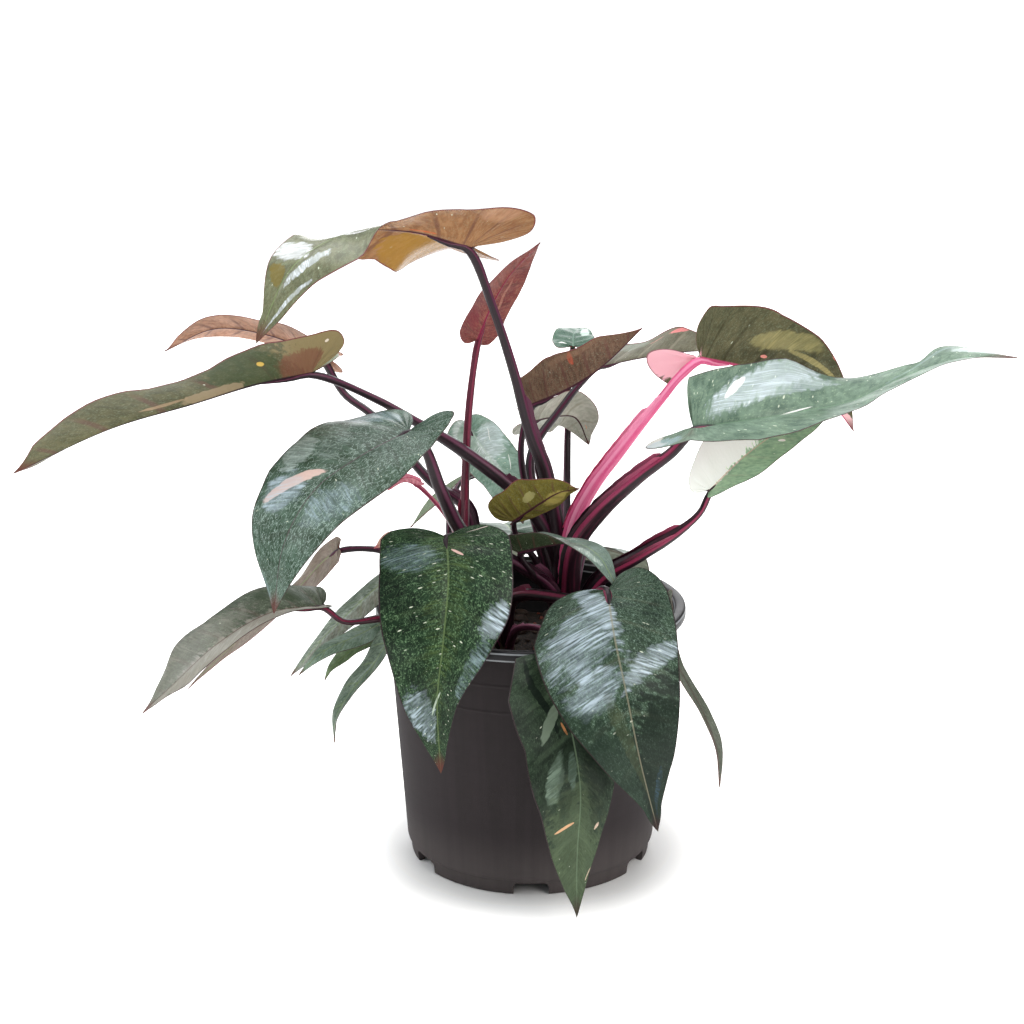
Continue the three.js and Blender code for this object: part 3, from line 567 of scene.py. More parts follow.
@dataclass(frozen=True)
class PotFinish:
    """Charcoal plastic: dull and faintly brushed on the wall and paler towards the foot, partly dust and
    partly painted light, and black on the lip with painted highlight lines along its edges.
    """

    plastic: str = "#2a2526"
    worn: str = "#322c2e"
    lip: str = "#141315"
    # edge is the colour of the painted highlight lines along the lip, and edges are their heights.
    edge: str = "#a4a8ab"
    dust_and_painted_light: str = "#544e4d"
    lip_bottom: float = 0.1738  # this and the next five in metres
    lip_fade: float = 0.0012
    edges: Pair = (0.1764, 0.1812)
    dust_and_light_top: float = 0.05
    plate_top: float = 0.012
    foot_radius: float = 0.087
    slope: float = 0.0726

    def dress(self, name: str) -> bpy.types.Material:
        """Makes the material.

        Args:
            name: Its name.

        Returns:
            The material.
        """
        net = Network(bpy.data.materials.new(name))
        x, y, z = net.axes(net.place())
        turn = net.maths("ARCTAN2", y, x)
        brushed = net.streaks(turn * 14.0, z * 6.0, 0.0, 4.0)
        scuffs = net.streaks(turn * 5.0, z * 260.0, 1.0)
        grain = net.noise(net.place(), 1400.0, 2.0)
        lip = z.ramp(self.lip_bottom, self.lip_bottom + self.lip_fade)
        beside = net.maths("SQRT", x * x + y * y) - z * self.slope - self.foot_radius
        inner = beside.ramp(-0.0006, -0.0012) * z.ramp(self.plate_top, self.plate_top + 0.001)
        shiny = lip.highest(inner)
        colour = net.blend(brushed.ramp(0.3, 0.7) * 0.5, self.plastic, self.worn)
        colour = net.blend(scuffs.ramp(0.62, 0.8) * 0.25, colour, self.worn)
        # Paler towards the foot: partly dust and partly painted light, where the lamps above leave the foot
        # in shade.
        colour = net.blend(z.ramp(self.dust_and_light_top, 0.0) * (brushed * 0.5 + 0.5), colour, self.dust_and_painted_light)
        colour = net.blend(shiny, colour, self.lip)
        # Painted highlight lines along the lip's upper and lower edges.
        for level in self.edges:
            line = abs(z - level).ramp(0.0008, 0.0002) * lip
            colour = net.blend(line * (0.35 + brushed * 0.6), colour, self.edge)
        dull = 0.68 + brushed * 0.1 + scuffs * 0.08
        roughness = dull - shiny * 0.3
        return net.finish(
            colour, roughness, grain * 0.6 + scuffs * 0.4, 0.12 * MM, Specular_IOR_Level=0.18,
            Coat_Weight=shiny * 0.1, Coat_Roughness=0.25,
        )


@dataclass(frozen=True)
class MixFinish:
    """Potting mix: dark peat with lighter fibres."""

    peat: str = "#1c1410"
    fibre: str = "#47331f"
    pore: str = "#120c09"

    def dress(self, name: str) -> bpy.types.Material:
        """Makes the material.

        Args:
            name: Its name.

        Returns:
            The material.
        """
        net = Network(bpy.data.materials.new(name))
        coarse = net.noise(net.place(), 160.0, 5.0)
        fine = net.noise(net.place(), 900.0, 3.0)
        colour = net.blend(fine.ramp(0.45, 0.75), self.peat, self.fibre)
        colour = net.blend(coarse.ramp(0.4, 0.65) * 0.6, colour, self.pore)
        return net.finish(colour, 0.85 + fine * 0.1, coarse * 0.5 + fine * 0.5, 1.5 * MM)


@dataclass(frozen=True)
class GrainFinish:
    """Loose bits on the mix: bark chips or fertiliser prills, one colour fading into another."""

    colour: str
    other: str
    roughness: float
    pit: str = "#1c110c"

    def dress(self, name: str) -> bpy.types.Material:
        """Makes the material.

        Args:
            name: Its name.

        Returns:
            The material.
        """
        net = Network(bpy.data.materials.new(name))
        broad = net.noise(net.place(), 120.0, 2.0)
        fine = net.noise(net.place(), 1500.0, 3.0)
        colour = net.blend(broad.ramp(0.35, 0.65), self.colour, self.other)
        colour = net.blend(fine.ramp(0.5, 0.75) * 0.4, colour, self.pit)
        return net.finish(colour, self.roughness + fine * 0.15, fine, 0.3 * MM)


@dataclass(frozen=True)
class FloorFinish:
    """A pale matt floor that glows faintly, except near the pot, so that its shadow stays and a painted
    shade lies round and under the pot.
    """

    colour: str = "#f4f3f1"
    faded: str = "#e9e7e4"
    glow: float = 0.7
    # No glow inside dark_radius and full glow from bright_radius: a painted shade round and under the pot.
    dark_radius: float = 0.088
    bright_radius: float = 0.14

    def dress(self, name: str) -> bpy.types.Material:
        """Makes the material.

        Args:
            name: Its name.

        Returns:
            The material.
        """
        net = Network(bpy.data.materials.new(name))
        faint = net.noise(net.place(), 3.0, 2.0)
        colour = net.blend(faint * 0.04, self.colour, self.faded)
        x, y, _ = net.axes(net.place())
        far = net.maths("SQRT", x * x + y * y)
        glow_with_painted_shade = net.blend(far.ramp(self.dark_radius, self.bright_radius), "#000000", self.colour)
        return net.finish(colour, 0.9, Emission_Color=glow_with_painted_shade, Emission_Strength=self.glow)


# ------------ shapes


class Route:
    """A smooth curve through points, read at shares of its length."""

    STEPS = 400

    def __init__(self, points: Sequence[Point]) -> None:
        """Measures the curve.

        Args:
            points: What it runs through, in millimetres.
        """
        knots = np.array(points, float)
        first, last = 2 * knots[0] - knots[1], 2 * knots[-1] - knots[-2]
        self.knots = np.vstack([first, knots, last])
        self.shares = np.linspace(0.0, 1.0, self.STEPS + 1)
        runs = np.linalg.norm(np.diff(self.between(self.shares), axis=0), axis=1)
        self.lengths = np.concatenate([[0.0], np.cumsum(runs)])

    @property
    def length(self) -> float:
        """Is the curve's length."""
        return float(self.lengths[-1])

    def between(self, share: np.ndarray) -> np.ndarray:
        """Reads the curve at shares of the way from knot to knot.

        Args:
            share: Shares from 0 to 1, every stretch between two knots counting alike.

        Returns:
            One point for each share.
        """
        stretches = len(self.knots) - 3
        place = np.clip(share, 0.0, 1.0) * stretches
        start = np.minimum(place.astype(int), stretches - 1)
        way = (place - start)[:, None]
        a, b, c, d = (self.knots[start + i] for i in range(4))
        ab, bc, cd = (
            np.sqrt(np.maximum(np.linalg.norm(q - p, axis=1), 1e-9))[:, None]
            for p, q in ((a, b), (b, c), (c, d))
        )
        leave = ((b - a) / ab - (c - a) / (ab + bc) + (c - b) / bc) * bc
        reach = ((c - b) / bc - (d - b) / (bc + cd) + (d - c) / cd) * bc
        bend = -3 * b + 3 * c - 2 * leave - reach
        return b + leave * way + bend * way**2 + (2 * b - 2 * c + leave + reach) * way**3

    def at(self, share: np.ndarray) -> np.ndarray:
        """Reads the curve at shares of its length."""
        return self.between(np.interp(share * self.length, self.lengths, self.shares))

    def frames(self, steps: int, up: Point) -> Frames:
        """Carries a cross-section frame along the curve without twisting it.

        Args:
            steps: How many stretches the curve is cut into.
            up: The direction that the first frame's normal leans to.

        Returns:
            The frames at even shares of the length.
        """
        shares = np.linspace(0.0, 1.0, steps + 1)
        step = 1e-3
        tangents = self.at(np.minimum(shares + step, 1.0)) - self.at(np.maximum(shares - step, 0.0))
        tangents /= np.linalg.norm(tangents, axis=1)[:, None]
        normals = np.empty_like(tangents)
        normal = np.array(up, float)
        for i, tangent in enumerate(tangents):
            normal = normal - normal.dot(tangent) * tangent
            normal /= np.linalg.norm(normal)
            normals[i] = normal
        return Frames(self.at(shares), tangents, normals, np.cross(tangents, normals))


@dataclass(frozen=True)
class Frames:
    """Cross-section frames along a curve."""

    centres: np.ndarray
    tangents: np.ndarray
    normals: np.ndarray
    sides: np.ndarray

    def between(self, share: np.ndarray) -> tuple[np.ndarray, ...]:
        """Reads the frames between their own places.

        Args:
            share: Shares of the length.

        Returns:
            Centres, tangents, normals and sides.
        """
        steps = len(self.centres) - 1
        place = np.clip(share, 0.0, 1.0) * steps
        start = np.minimum(place.astype(int), steps - 1)
        way = (place - start)[..., None]
        return tuple(
            rows[start] * (1 - way) + rows[start + 1] * way
            for rows in (self.centres, self.tangents, self.normals, self.sides)
        )

    def rings(self, size: np.ndarray, turn: np.ndarray) -> np.ndarray:
        """Lays a ring of points round each centre.

        Args:
            size: The radius, by ring and by place round it.
            turn: The angles of those places from the normal.

        Returns:
            The points, by ring and by place.
        """
        return (
            self.centres[:, None]
            + self.normals[:, None] * (size * np.cos(turn))[..., None]
            + self.sides[:, None] * (size * np.sin(turn))[..., None]
        )


def sample(values: Sequence[float], share: np.ndarray) -> np.ndarray:
    """Reads evenly spaced values at shares of their length."""
    return np.interp(share, np.linspace(0.0, 1.0, len(values)), values)


def smoothstep(value: np.ndarray, start: float, end: float) -> np.ndarray:
    """Rises smoothly from 0 at start to 1 at end."""
    way = np.clip((value - start) / (end - start), 0.0, 1.0)
    return way * way * (3.0 - 2.0 * way)


def bumps(spots: np.ndarray, size: float, seed: int) -> np.ndarray:
    """Makes a smooth uneven value from about -1 to 1.

    Args:
        spots: The points that it is read at.
        size: The size of its features.
        seed: The number that sets its pattern.

    Returns:
        One value for each point.
    """
    dice = np.random.default_rng(seed)
    total = np.zeros(len(spots))
    for _ in range(7):
        direction = dice.normal(size=3)
        direction /= np.linalg.norm(direction)
        pitch = size * dice.uniform(0.7, 1.6)
        total += np.sin(spots @ direction * math.tau / pitch + dice.uniform(0, math.tau))
    return total / 3.5


def turned(angle: float, axis: int) -> np.ndarray:
    """Makes the matrix of a turn about one axis.

    Args:
        angle: The turn in radians.
        axis: 0 for x, 1 for y and 2 for z.

    Returns:
        The matrix, for columns.
    """
    first, second = (axis + 1) % 3, (axis + 2) % 3
    matrix = np.eye(3)
    matrix[first, first] = matrix[second, second] = math.cos(angle)
    matrix[first, second] = -math.sin(angle)
    matrix[second, first] = math.sin(angle)
    return matrix


@dataclass
class Skin:
    """Faces, surface maps and materials that are gathered before they become a piece."""

    points: list[Sequence[float]] = field(default_factory=list)
    faces: list[tuple[int, ...]] = field(default_factory=list)
    rows: list[tuple[Pair, ...]] = field(default_factory=list)
    spans: list[tuple[Pair, ...]] = field(default_factory=list)
    kinds: list[int] = field(default_factory=list)

    def face(
        self,
        corners: Sequence[int],
        rows: Sequence[Pair],
        spans: Sequence[Pair] | None = None,
        kind: int = 0,
    ) -> None:
        """Adds a face, leaving out corners that repeat.

        Args:
            corners: The numbers of its points.
            rows: Each corner's place in the rows map.
            spans: Each corner's place in the span map, the rows map's where it is left out.
            kind: The number of its material.
        """
        kept = [i for i, corner in enumerate(corners) if corner not in corners[:i]]
        if len(kept) < 3:
            return
        self.faces.append(tuple(corners[i] for i in kept))
        self.rows.append(tuple(rows[i] for i in kept))
        self.spans.append(tuple((spans or rows)[i] for i in kept))
        self.kinds.append(kind)

    def rings(self, rings: np.ndarray, along: Sequence[float]) -> None:
        """Joins rings of points into a tube with flat ends.

        Args:
            rings: Points in millimetres, by ring and by place around it.
            along: Each ring's place in the rows map.
        """
        count, around = rings.shape[:2]
        start = len(self.points)
        self.points.extend(rings.reshape(-1, 3))
        turns = [k / around - 0.5 for k in range(around + 1)]
        for i in range(count - 1):
            for k in range(around):
                a, b = start + i * around + k, start + i * around + (k + 1) % around
                self.face(
                    (a, b, b + around, a + around),
                    (
                        (along[i], turns[k]), (along[i], turns[k + 1]),
                        (along[i + 1], turns[k + 1]), (along[i + 1], turns[k]),
                    ),
                )
        first = list(range(start + around - 1, start - 1, -1))
        last = list(range(start + (count - 1) * around, start + count * around))
        self.face(first, [(along[0], 0.5)] * around)
        self.face(last, [(along[-1], 0.5)] * around)

    def piece(
        self,
        name: str,
        materials: Sequence[bpy.types.Material],
        slot: Slot,
        replaces: Sequence[str] = (),
        crease: float = 40.0,
    ) -> bpy.types.Object:
        """Turns what was gathered into a piece of the plant.

        Args:
            name: The piece's name.
            materials: Its materials, by the faces' kinds.
            slot: The record's material slot; not used.
            replaces: The nodes that it stands for.
            crease: Edges sharper than this many degrees stay crisp.

        Returns:
            The piece, riding on the body.
        """
        mesh = bpy.data.meshes.new(name)
        mesh.from_pydata((np.array(self.points) * MM).tolist(), [], self.faces)
        for key, corners in ((ROWS_MAP, self.rows), (SPAN_MAP, self.spans)):
            layer = mesh.uv_layers.new(name=key)
            flat = np.array([pair for face in corners for pair in face], np.float32)
            layer.data.foreach_set("uv", flat.ravel())
        mesh.polygons.foreach_set("material_index", self.kinds)
        mesh.polygons.foreach_set("use_smooth", [True] * len(self.faces))
        mesh.set_sharp_from_angle(angle=math.radians(crease))
        mesh.validate()
        mesh.update()
        piece = bpy.data.objects.new(name, mesh)
        bpy.context.scene.collection.objects.link(piece)
        for material in materials:
            mesh.materials.append(material)
        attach(piece, BODY)
        if replaces:
            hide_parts(*replaces)
        log.info("%s: %d faces", name, len(self.faces))
        return piece


# ------------ leaves and stalks


class Root(Enum):
    """A rooted stem that leaves grow from."""

    MAIN = "stem_main"
    FRONT = "stem_front"
    LEFT = "stem_left"


HALF_OUTLINE: tuple[Point, ...] = (
    (0.04, -0.02, 0), (0.2, -0.1, 0), (0.5, -0.15, 0), (0.8, -0.09, 0), (0.96, 0.06, 0.02),
    (1, 0.24, 0.14), (0.88, 0.46, 0.36), (0.58, 0.69, 0.6), (0.22, 0.88, 0.82), (0, 1, 1),
)  # share of the half width, share of the length, and where on the midrib that side vein starts


@dataclass(frozen=True)
class BladeGrid:
    """How finely a blade is made, and its relief in millimetres."""

    rows: int = 72
    cells: int = 15
    crowding: float = 1.35  # above 1, cells are smaller towards the midrib
    frames: int = 48
    sweep: float = 1.2
    base: float = 0.7  # thickness beside the midrib
    rim: float = 0.42
    groove: float = 0.55
    ridge: float = 1.25
    rib_reach: float = 1.3
    pucker: float = 0.42
    ruffle: float = 0.5

    @property
    def places(self) -> np.ndarray:
        """Is each row's place along the margin."""
        return np.linspace(0.0, 1.0, self.rows + 1)

    @property
    def shares(self) -> np.ndarray:
        """Is each column's share of the way from the midrib."""
        return np.linspace(0.0, 1.0, self.cells + 1) ** self.crowding


GRID = BladeGrid()


@dataclass
class Sheet:
    """A blade's middle surface, which has no thickness yet.

    Its first two points are the midrib's ends. where says how many millimetres each point lies
    from the midrib, at which share of the midrib's length, at which place along the margin and at
    which share of the half width. corners has the number of the point at each row and column of
    the grid, by side: 1 for the right half and -1 for the left one.
    """

    JOINED = 0.01  # rows that start nearer than this to the stalk start at its end

    points: list[np.ndarray]
    where: list[tuple[float, ...]]
    corners: dict[int, np.ndarray] = field(default_factory=dict)

    def add(self, side: int, spots: np.ndarray, where: np.ndarray, foot: np.ndarray) -> None:
        """Adds a half. The second one shares the first one's points on the midrib.

        Args:
            side: 1 for the right half, which comes first, and -1 for the left one.
            spots: Its points, by row and column.
            where: Where each lies.
            foot: Each row's start, as a share of the midrib's length.
        """
        index = np.ones(spots.shape[:2], int)  # the last row stays at the tip, which is point 1
        for i, j in np.ndindex(index.shape[0] - 1, index.shape[1]):
            if j == 0 and foot[i] <= self.JOINED:
                index[i, j] = 0
            elif j == 0 and side < 0:
                index[i, j] = self.corners[1][i, 0]
            else:
                index[i, j] = len(self.points)
                self.points.append(spots[i, j])
                self.where.append(tuple(where[i, j]))
        self.corners[side] = index

    def cells(self) -> list[tuple[tuple[int, ...], tuple[Pair, ...]]]:
        """Lists the cells of both halves.

        Returns:
            The points of each, and their places in the rows map.
        """
        place, share = GRID.places, GRID.shares
        cells = []
        for side, index in self.corners.items():
            for i, j in np.ndindex(GRID.rows, GRID.cells):
                quad = ((i, j), (i, j + 1), (i + 1, j + 1), (i + 1, j))
                quad = quad if side > 0 else quad[::-1]
                corners = tuple(int(index[spot]) for spot in quad)
                cells.append((corners, tuple((place[a], side * share[b]) for a, b in quad)))
        return cells

    def rim(self) -> list[tuple[int, Pair]]:
        """Goes once round the margin.

        Returns:
            The number of each point, and its place in the rows map.
        """
        place, share = GRID.places, GRID.shares
        half = {
            side: [(int(index[0, j]), (0.0, side * share[j])) for j in range(1, GRID.cells)]
            + [(int(index[i, -1]), (place[i], float(side))) for i in range(GRID.rows)]
            for side, index in self.corners.items()
        }
        return [(0, (0.0, 0.0)), *half[1], (1, (1.0, 1.0)), *half[-1][::-1]]

    def normals(self) -> np.ndarray:
        """Averages the directions of the cells round each point.

        Returns:
            The direction that the surface faces at each point.
        """
        middle = np.array(self.points)
        normals = np.zeros_like(middle)
        for corners, _ in self.cells():
            a, b, c, d = (middle[k] for k in corners)
            face = np.cross(c - a, d - b)
            for k in set(corners):
                normals[k] += face
        return normals / np.linalg.norm(normals, axis=1)[:, None]


@dataclass(frozen=True)
class Leaf:
    """A heart-shaped blade on its stalk, in millimetres and degrees.

    width is over both halves. spine runs along the midrib from stalk to tip. left and right are
    how far each half rises across the midrib, evenly spaced from stalk to tip. lobes is how far
    the basal lobes rise backwards, reach their lengths as shares of a full lobe, slim the share of
    the width lost towards the tip, curl the bend from midrib to margin, and wave the height and
    count of the waves along a margin. full_left and full_right are how full each half is, evenly
    spaced along its margin from lobe to tip. stalk runs from the stem to the blade, thick is its
    radius, evenly spaced from stem to blade, and sheath is how far up it the wings reach.
    """

    name: str
    root: Root
    slot: Slot
    width: float
    spine: tuple[Point, ...]
    left: tuple[float, ...]
    right: tuple[float, ...]
    stalk: tuple[Point, ...]
    lobes: Pair = (0, 0)
    reach: Pair = (1, 1)
    full_left: tuple[float, ...] = (1,)
    full_right: tuple[float, ...] = (1,)
    slim: float = 0.0
    curl: float = -15.0
    wave: Pair = (2, 2)
    thick: tuple[float, ...] = (5, 2.5)
    sheath: float = 0.45
    finish: LeafFinish = LeafFinish()
    patches: tuple[Patch, ...] = ()
    stalk_finish: StalkFinish = StalkFinish()

    def build(self, seed: int) -> None:
        """Makes the blade, the stalk and the stalk's wings.

        Args:
            seed: The leaf's number, which sets its waves and its pattern.
        """
        route = Route(self.spine)
        frames = route.frames(GRID.frames, (0, 0, 1))
        self._blade(seed, route, frames)
        Stalk(self, route, frames).build()

    def _spot(
        self, side: int, across: np.ndarray, along: np.ndarray, seed: int, route: Route, frames: Frames
    ) -> tuple[np.ndarray, np.ndarray]:
        """Places points of one half.

        Args:
            side: 1 for the right half and -1 for the left one.
            across: Shares of the half width.
            along: Shares of the length.
            seed: The leaf's number.
            route: The midrib.
            frames: The midrib's frames.

        Returns:
            The points, and how far across each lies.
        """
        centres, tangents, normals, sides = frames.between(along)
        rise = sample(self.right if side > 0 else self.left, np.clip(along, 0, 1))
        bend = np.radians(self.curl) * across
        angle = np.radians(rise) + bend / 2
        narrowing = 1 - self.slim * smoothstep(along, 0.3, 0.8)
        reach = across * self.width / 2 * narrowing * np.sinc(bend / math.tau)
        spots = centres + sides * (side * reach * np.cos(angle))[..., None]
        spots = spots + normals * (reach * np.sin(angle))[..., None]
        which = 1 if side > 0 else 0
        back = math.radians(self.lobes[which])
        lobe = np.maximum(-along, 0.0) * self.reach[which] * route.length
        spots = spots - tangents * (lobe * math.cos(back))[..., None]
        spots = spots + normals * (lobe * math.sin(back))[..., None]
        phase = seed * 1.7 + (0 if side > 0 else 2.1)
        wave = self.wave[0] * across**2 * np.sin(along * self.wave[1] * math.tau + phase)
        return spots + normals * wave[..., None], reach

    def _sheet(self, seed: int, route: Route, frames: Frames) -> Sheet:
        """Lays out the blade's middle surface.

        Args:
            seed: The leaf's number.
            route: The midrib.
            frames: The midrib's frames.

        Returns:
            The surface.
        """
        place, share = GRID.places, GRID.shares
        outline = Route(HALF_OUTLINE).between(place)
        foot = np.maximum(outline[:, 2], 0.0)
        along = foot[:, None] + (outline[:, 1] - foot)[:, None] * share**GRID.sweep
        ends = [route.at(np.array([end]))[0] for end in (0.0, 1.0)]
        sheet = Sheet(ends, [(0.0, 0.0, 0.0, 0.0), (0.0, 1.0, 1.0, 0.0)])
        for side, full in ((1, self.full_right), (-1, self.full_left)):
            across = outline[:, :1] * sample(full, place)[:, None] * share
            spots, reach = self._spot(side, across, along, seed, route, frames)
            facts = (np.abs(reach), np.maximum(along, 0.0), place[:, None], share)
            where = np.stack(np.broadcast_arrays(*facts), axis=-1)
            sheet.add(side, spots, where, foot)
        return sheet

    @staticmethod
    def _faces(seed: int, sheet: Sheet) -> np.ndarray:
        """Raises midrib and side veins on both faces, which close up to a thin margin.

        Args:
            seed: The leaf's number.
            sheet: The middle surface.

        Returns:
            The points of the top and then those of the underside.
        """
        middle, normals = np.array(sheet.points), sheet.normals()
        reach, along, place, share = (np.array(fact) for fact in zip(*sheet.where))
        ripple = -np.cos(place * SIDE_VEINS * math.tau)
        ripple = ripple * np.sin(math.pi * np.clip(share * 1.05, 0, 1))
        uneven = bumps(middle, 26.0, seed) * GRID.ruffle * share**2
        lift = GRID.pucker * ripple * np.minimum(1, 8 * (1 - place)) + uneven
        half = (GRID.base + (GRID.rim - GRID.base) * smoothstep(share, 0.4, 1.0)) / 2
        rib = np.exp(-((reach / GRID.rib_reach) ** 2)) * (1 - 0.85 * along)
        top = middle + normals * (lift + half - GRID.groove * rib)[:, None]
        low = middle + normals * (lift - half - GRID.ridge * rib)[:, None]
        return np.vstack([top, low])

    def _blade(self, seed: int, route: Route, frames: Frames) -> None:
        """Makes the blade.

        Args:
            seed: The leaf's number.
            route: The midrib.
            frames: The midrib's frames.
        """
        sheet = self._sheet(seed, route, frames)
        skin = Skin(points=list(self._faces(seed, sheet)))
        count = len(sheet.points)
        span = [(along * route.length / 10, reach / 10) for reach, along, _, _ in sheet.where]
        for corners, rows in sheet.cells():
            signs = [1 if row[1] >= 0 else -1 for row in rows]
            spans = [(span[k][0], span[k][1] * sign) for k, sign in zip(corners, signs)]
            skin.face(corners, rows, spans, 0)
            skin.face([k + count for k in reversed(corners)], rows[::-1], spans[::-1], 1)
        rim = sheet.rim()
        for (a, row_a), (b, row_b) in zip(rim, rim[1:] + rim[:1]):
            skin.face((a, a + count, b + count, b), (row_a, row_a, row_b, row_b))
        materials = [
            self.finish.dress(f"{self.name}_{face.value}", face, seed, self.patches) for face in Face
        ]
        skin.piece(f"leaf_{self.name}", materials, self.slot, [f"blade_{self.name}"], 55.0)


@dataclass(frozen=True)
class Stalk:
    """A leaf's stalk: round below, grooved above, with thin wings beside the groove."""

    leaf: Leaf
    midrib: Route
    frames: Frames
    rings: int = 56
    sides: int = 20
    groove: float = 0.24  # depth as a share of the radius
    groove_width: float = 0.5
    seat: float = 0.75  # the first point under the blade, as a share of the radius there
    tail: tuple[tuple[int, float], ...] = ((12, 0.7), (6, 0.3))  # a 12th up the midrib, 0.7 radii deep
    under_rib: float = 0.5  # millimetres between the midrib and the stalk's end below it
    swelling: float = 0.12
    swelling_place: Pair = (0.96, 0.04)  # its middle and its reach, as shares of the stalk
    unevenness: Pair = (0.018, 24.0)
    wing: float = 0.6  # height of a wing as a share of the stalk's radius
    wing_angle: float = 0.85
    wing_sheet: float = 0.6

    def build(self) -> None:
        """Makes the stalk and its wings."""
        leaf = self.leaf
        under = -self.frames.normals[0]
        end = leaf.thick[-1]
        seat = self.frames.centres[0] + under * end * self.seat
        steps = len(self.frames.centres) - 1
        tail = [
            tuple(self.frames.centres[steps // part] + under * (end * depth + self.under_rib))
            for part, depth in self.tail
        ]
        route = Route((*leaf.stalk, tuple(seat), *tail)[::-1])
        frames = route.frames(self.rings, (0.05, -0.1, 1))
        body = Route((*leaf.stalk, tuple(seat))).length / route.length
        share = np.linspace(0.0, 1.0, self.rings + 1)
        from_root = (1 - share) / body
        radius = sample(leaf.thick, np.clip(from_root, 0, 1))
        middle, extent = self.swelling_place
        radius = radius * (1 + self.swelling * np.exp(-(((from_root - middle) / extent) ** 2)))
        ending = end * (1 - 0.8 * (from_root - 1) * body / (1 - body))
        radius = np.where(from_root > 1, ending, radius)
        height, size = self.unevenness
        radius = radius * (1 + height * bumps(frames.centres, size, len(leaf.name)))
        turn = (np.arange(self.sides) / self.sides - 0.5) * math.tau
        groove = self.groove * np.exp(-((turn / self.groove_width) ** 2))
        open_along = smoothstep(from_root, 0.02, 0.12) * smoothstep(from_root, 1.02, 0.8)
        depth = groove[None, :] * open_along[:, None]
        skin = Skin()
        skin.rings(frames.rings(radius[:, None] * (1 - depth), turn), (1 - share).tolist())
        material = leaf.stalk_finish.dress(f"stalk_{leaf.name}")
        skin.piece(f"stalk_{leaf.name}", [material], Slot.STEM, [leaf.root.value], 60.0)
        if leaf.sheath > 0:
            self._wings(frames, radius, from_root)

    def _wings(self, frames: Frames, radius: np.ndarray, from_root: np.ndarray) -> None:
        """Makes the two wings, which stand up beside the groove and end in a ragged tooth.

        Args:
            frames: The stalk's frames.
            radius: Its radius at each frame.
            from_root: How far up the stalk each frame stands, as a share of its length.
        """
        leaf = self.leaf
        dice = np.random.default_rng(sum(map(ord, leaf.name)))
        inside = np.nonzero((from_root > 0.03) & (from_root < leaf.sheath))[0]
        way = from_root[inside] / leaf.sheath
        skin = Skin()
        for side in (1, -1):
            end = dice.uniform(0.9, 1.0)
            tall = self.wing * radius[inside] * smoothstep(way, 0.0, 0.12)
            tall = tall * (0.75 + 0.55 * smoothstep(way, 0.5, end))
            tall = tall * (1 - 0.92 * smoothstep(way, end - 0.015, end)) + 0.25
            tall = tall * (1 + 0.12 * bumps(frames.centres[inside], 9.0, 3 + side))
            lean = 0.5 - 0.75 * smoothstep(way, 0.6, 1.0)
            outward = frames.normals[inside] * math.cos(self.wing_angle)
            outward = outward + frames.sides[inside] * (side * math.sin(self.wing_angle))
            foot = frames.centres[inside] + outward * (radius[inside] * 0.86)[:, None]
            inward = -side * frames.sides[inside]
            across = []
            for step in np.linspace(0.0, 1.0, 6):
                lift = frames.normals[inside] * 0.92 + inward * (lean * step - 0.25)[:, None]
                across.append(foot + lift * (tall * step)[:, None])
            sheet = np.stack(across, axis=1)
            thick = frames.sides[inside][:, None] * (self.wing_sheet / 2)
            thick = thick * np.array([1, 1, 0.9, 0.8, 0.6, 0.3])[None, :, None]
            ring = np.concatenate([sheet + thick, (sheet - thick)[:, ::-1]], axis=1)
            if side < 0:
                ring = ring[:, ::-1]
            skin.rings(ring[::-1], way[::-1].tolist())
        finish = SheathFinish(skin=leaf.stalk_finish.skin, dry=leaf.stalk_finish.edge)
        name = f"sheath_{leaf.name}"
        skin.piece(name, [finish.dress(name)], Slot.STEM, [leaf.root.value], 70.0)


# ------------ stems, mix and pot


@dataclass(frozen=True)
class Cane:
    """A rooted stem: a short cane with rings where older leaves stood."""

    root: Root
    path: tuple[Point, ...]
    thick: tuple[float, ...]
    ring_gap: float = 11.0
    ring_swelling: float = 0.1
    roughness: float = 0.25  # millimetres
    rings: int = 60
    sides: int = 28

    def build(self) -> None:
        """Makes the cane."""
        route = Route(self.path)
        frames = route.frames(self.rings, (0.3, -0.9, 0.2))
        share = np.linspace(0.0, 1.0, self.rings + 1)
        radius = sample(self.thick, share)
        knot = (share * route.length / self.ring_gap) % 1.0
        radius = radius * (1 + self.ring_swelling * np.exp(-(((knot - 0.5) / 0.12) ** 2)))
        turn = np.arange(self.sides) / self.sides * math.tau
        rings = frames.rings(radius[:, None], turn)
        rough = bumps(rings.reshape(-1, 3), 7.0, 5).reshape(rings.shape[:2]) * self.roughness
        rings = rings + (rings - frames.centres[:, None]) * (rough / radius[:, None])[..., None]
        skin = Skin()
        skin.rings(rings[:, ::-1], share.tolist())
        name = f"cane_{self.root.name.lower()}"
        skin.piece(name, [StemFinish().dress(name)], Slot.STEM, [self.root.value], 60.0)


RING_SHAPE: tuple[Pair, ...] = (
    (-4.0, 0), (-1.6, 0), (-1.1, 0.05), (-0.6, 0.6), (0, 1), (0.6, 0.6), (1.1, 0.05), (1.6, 0), (4.0, 0),
)  # height beside the middle of a ring of the pot's wall, and share of the ring's rise


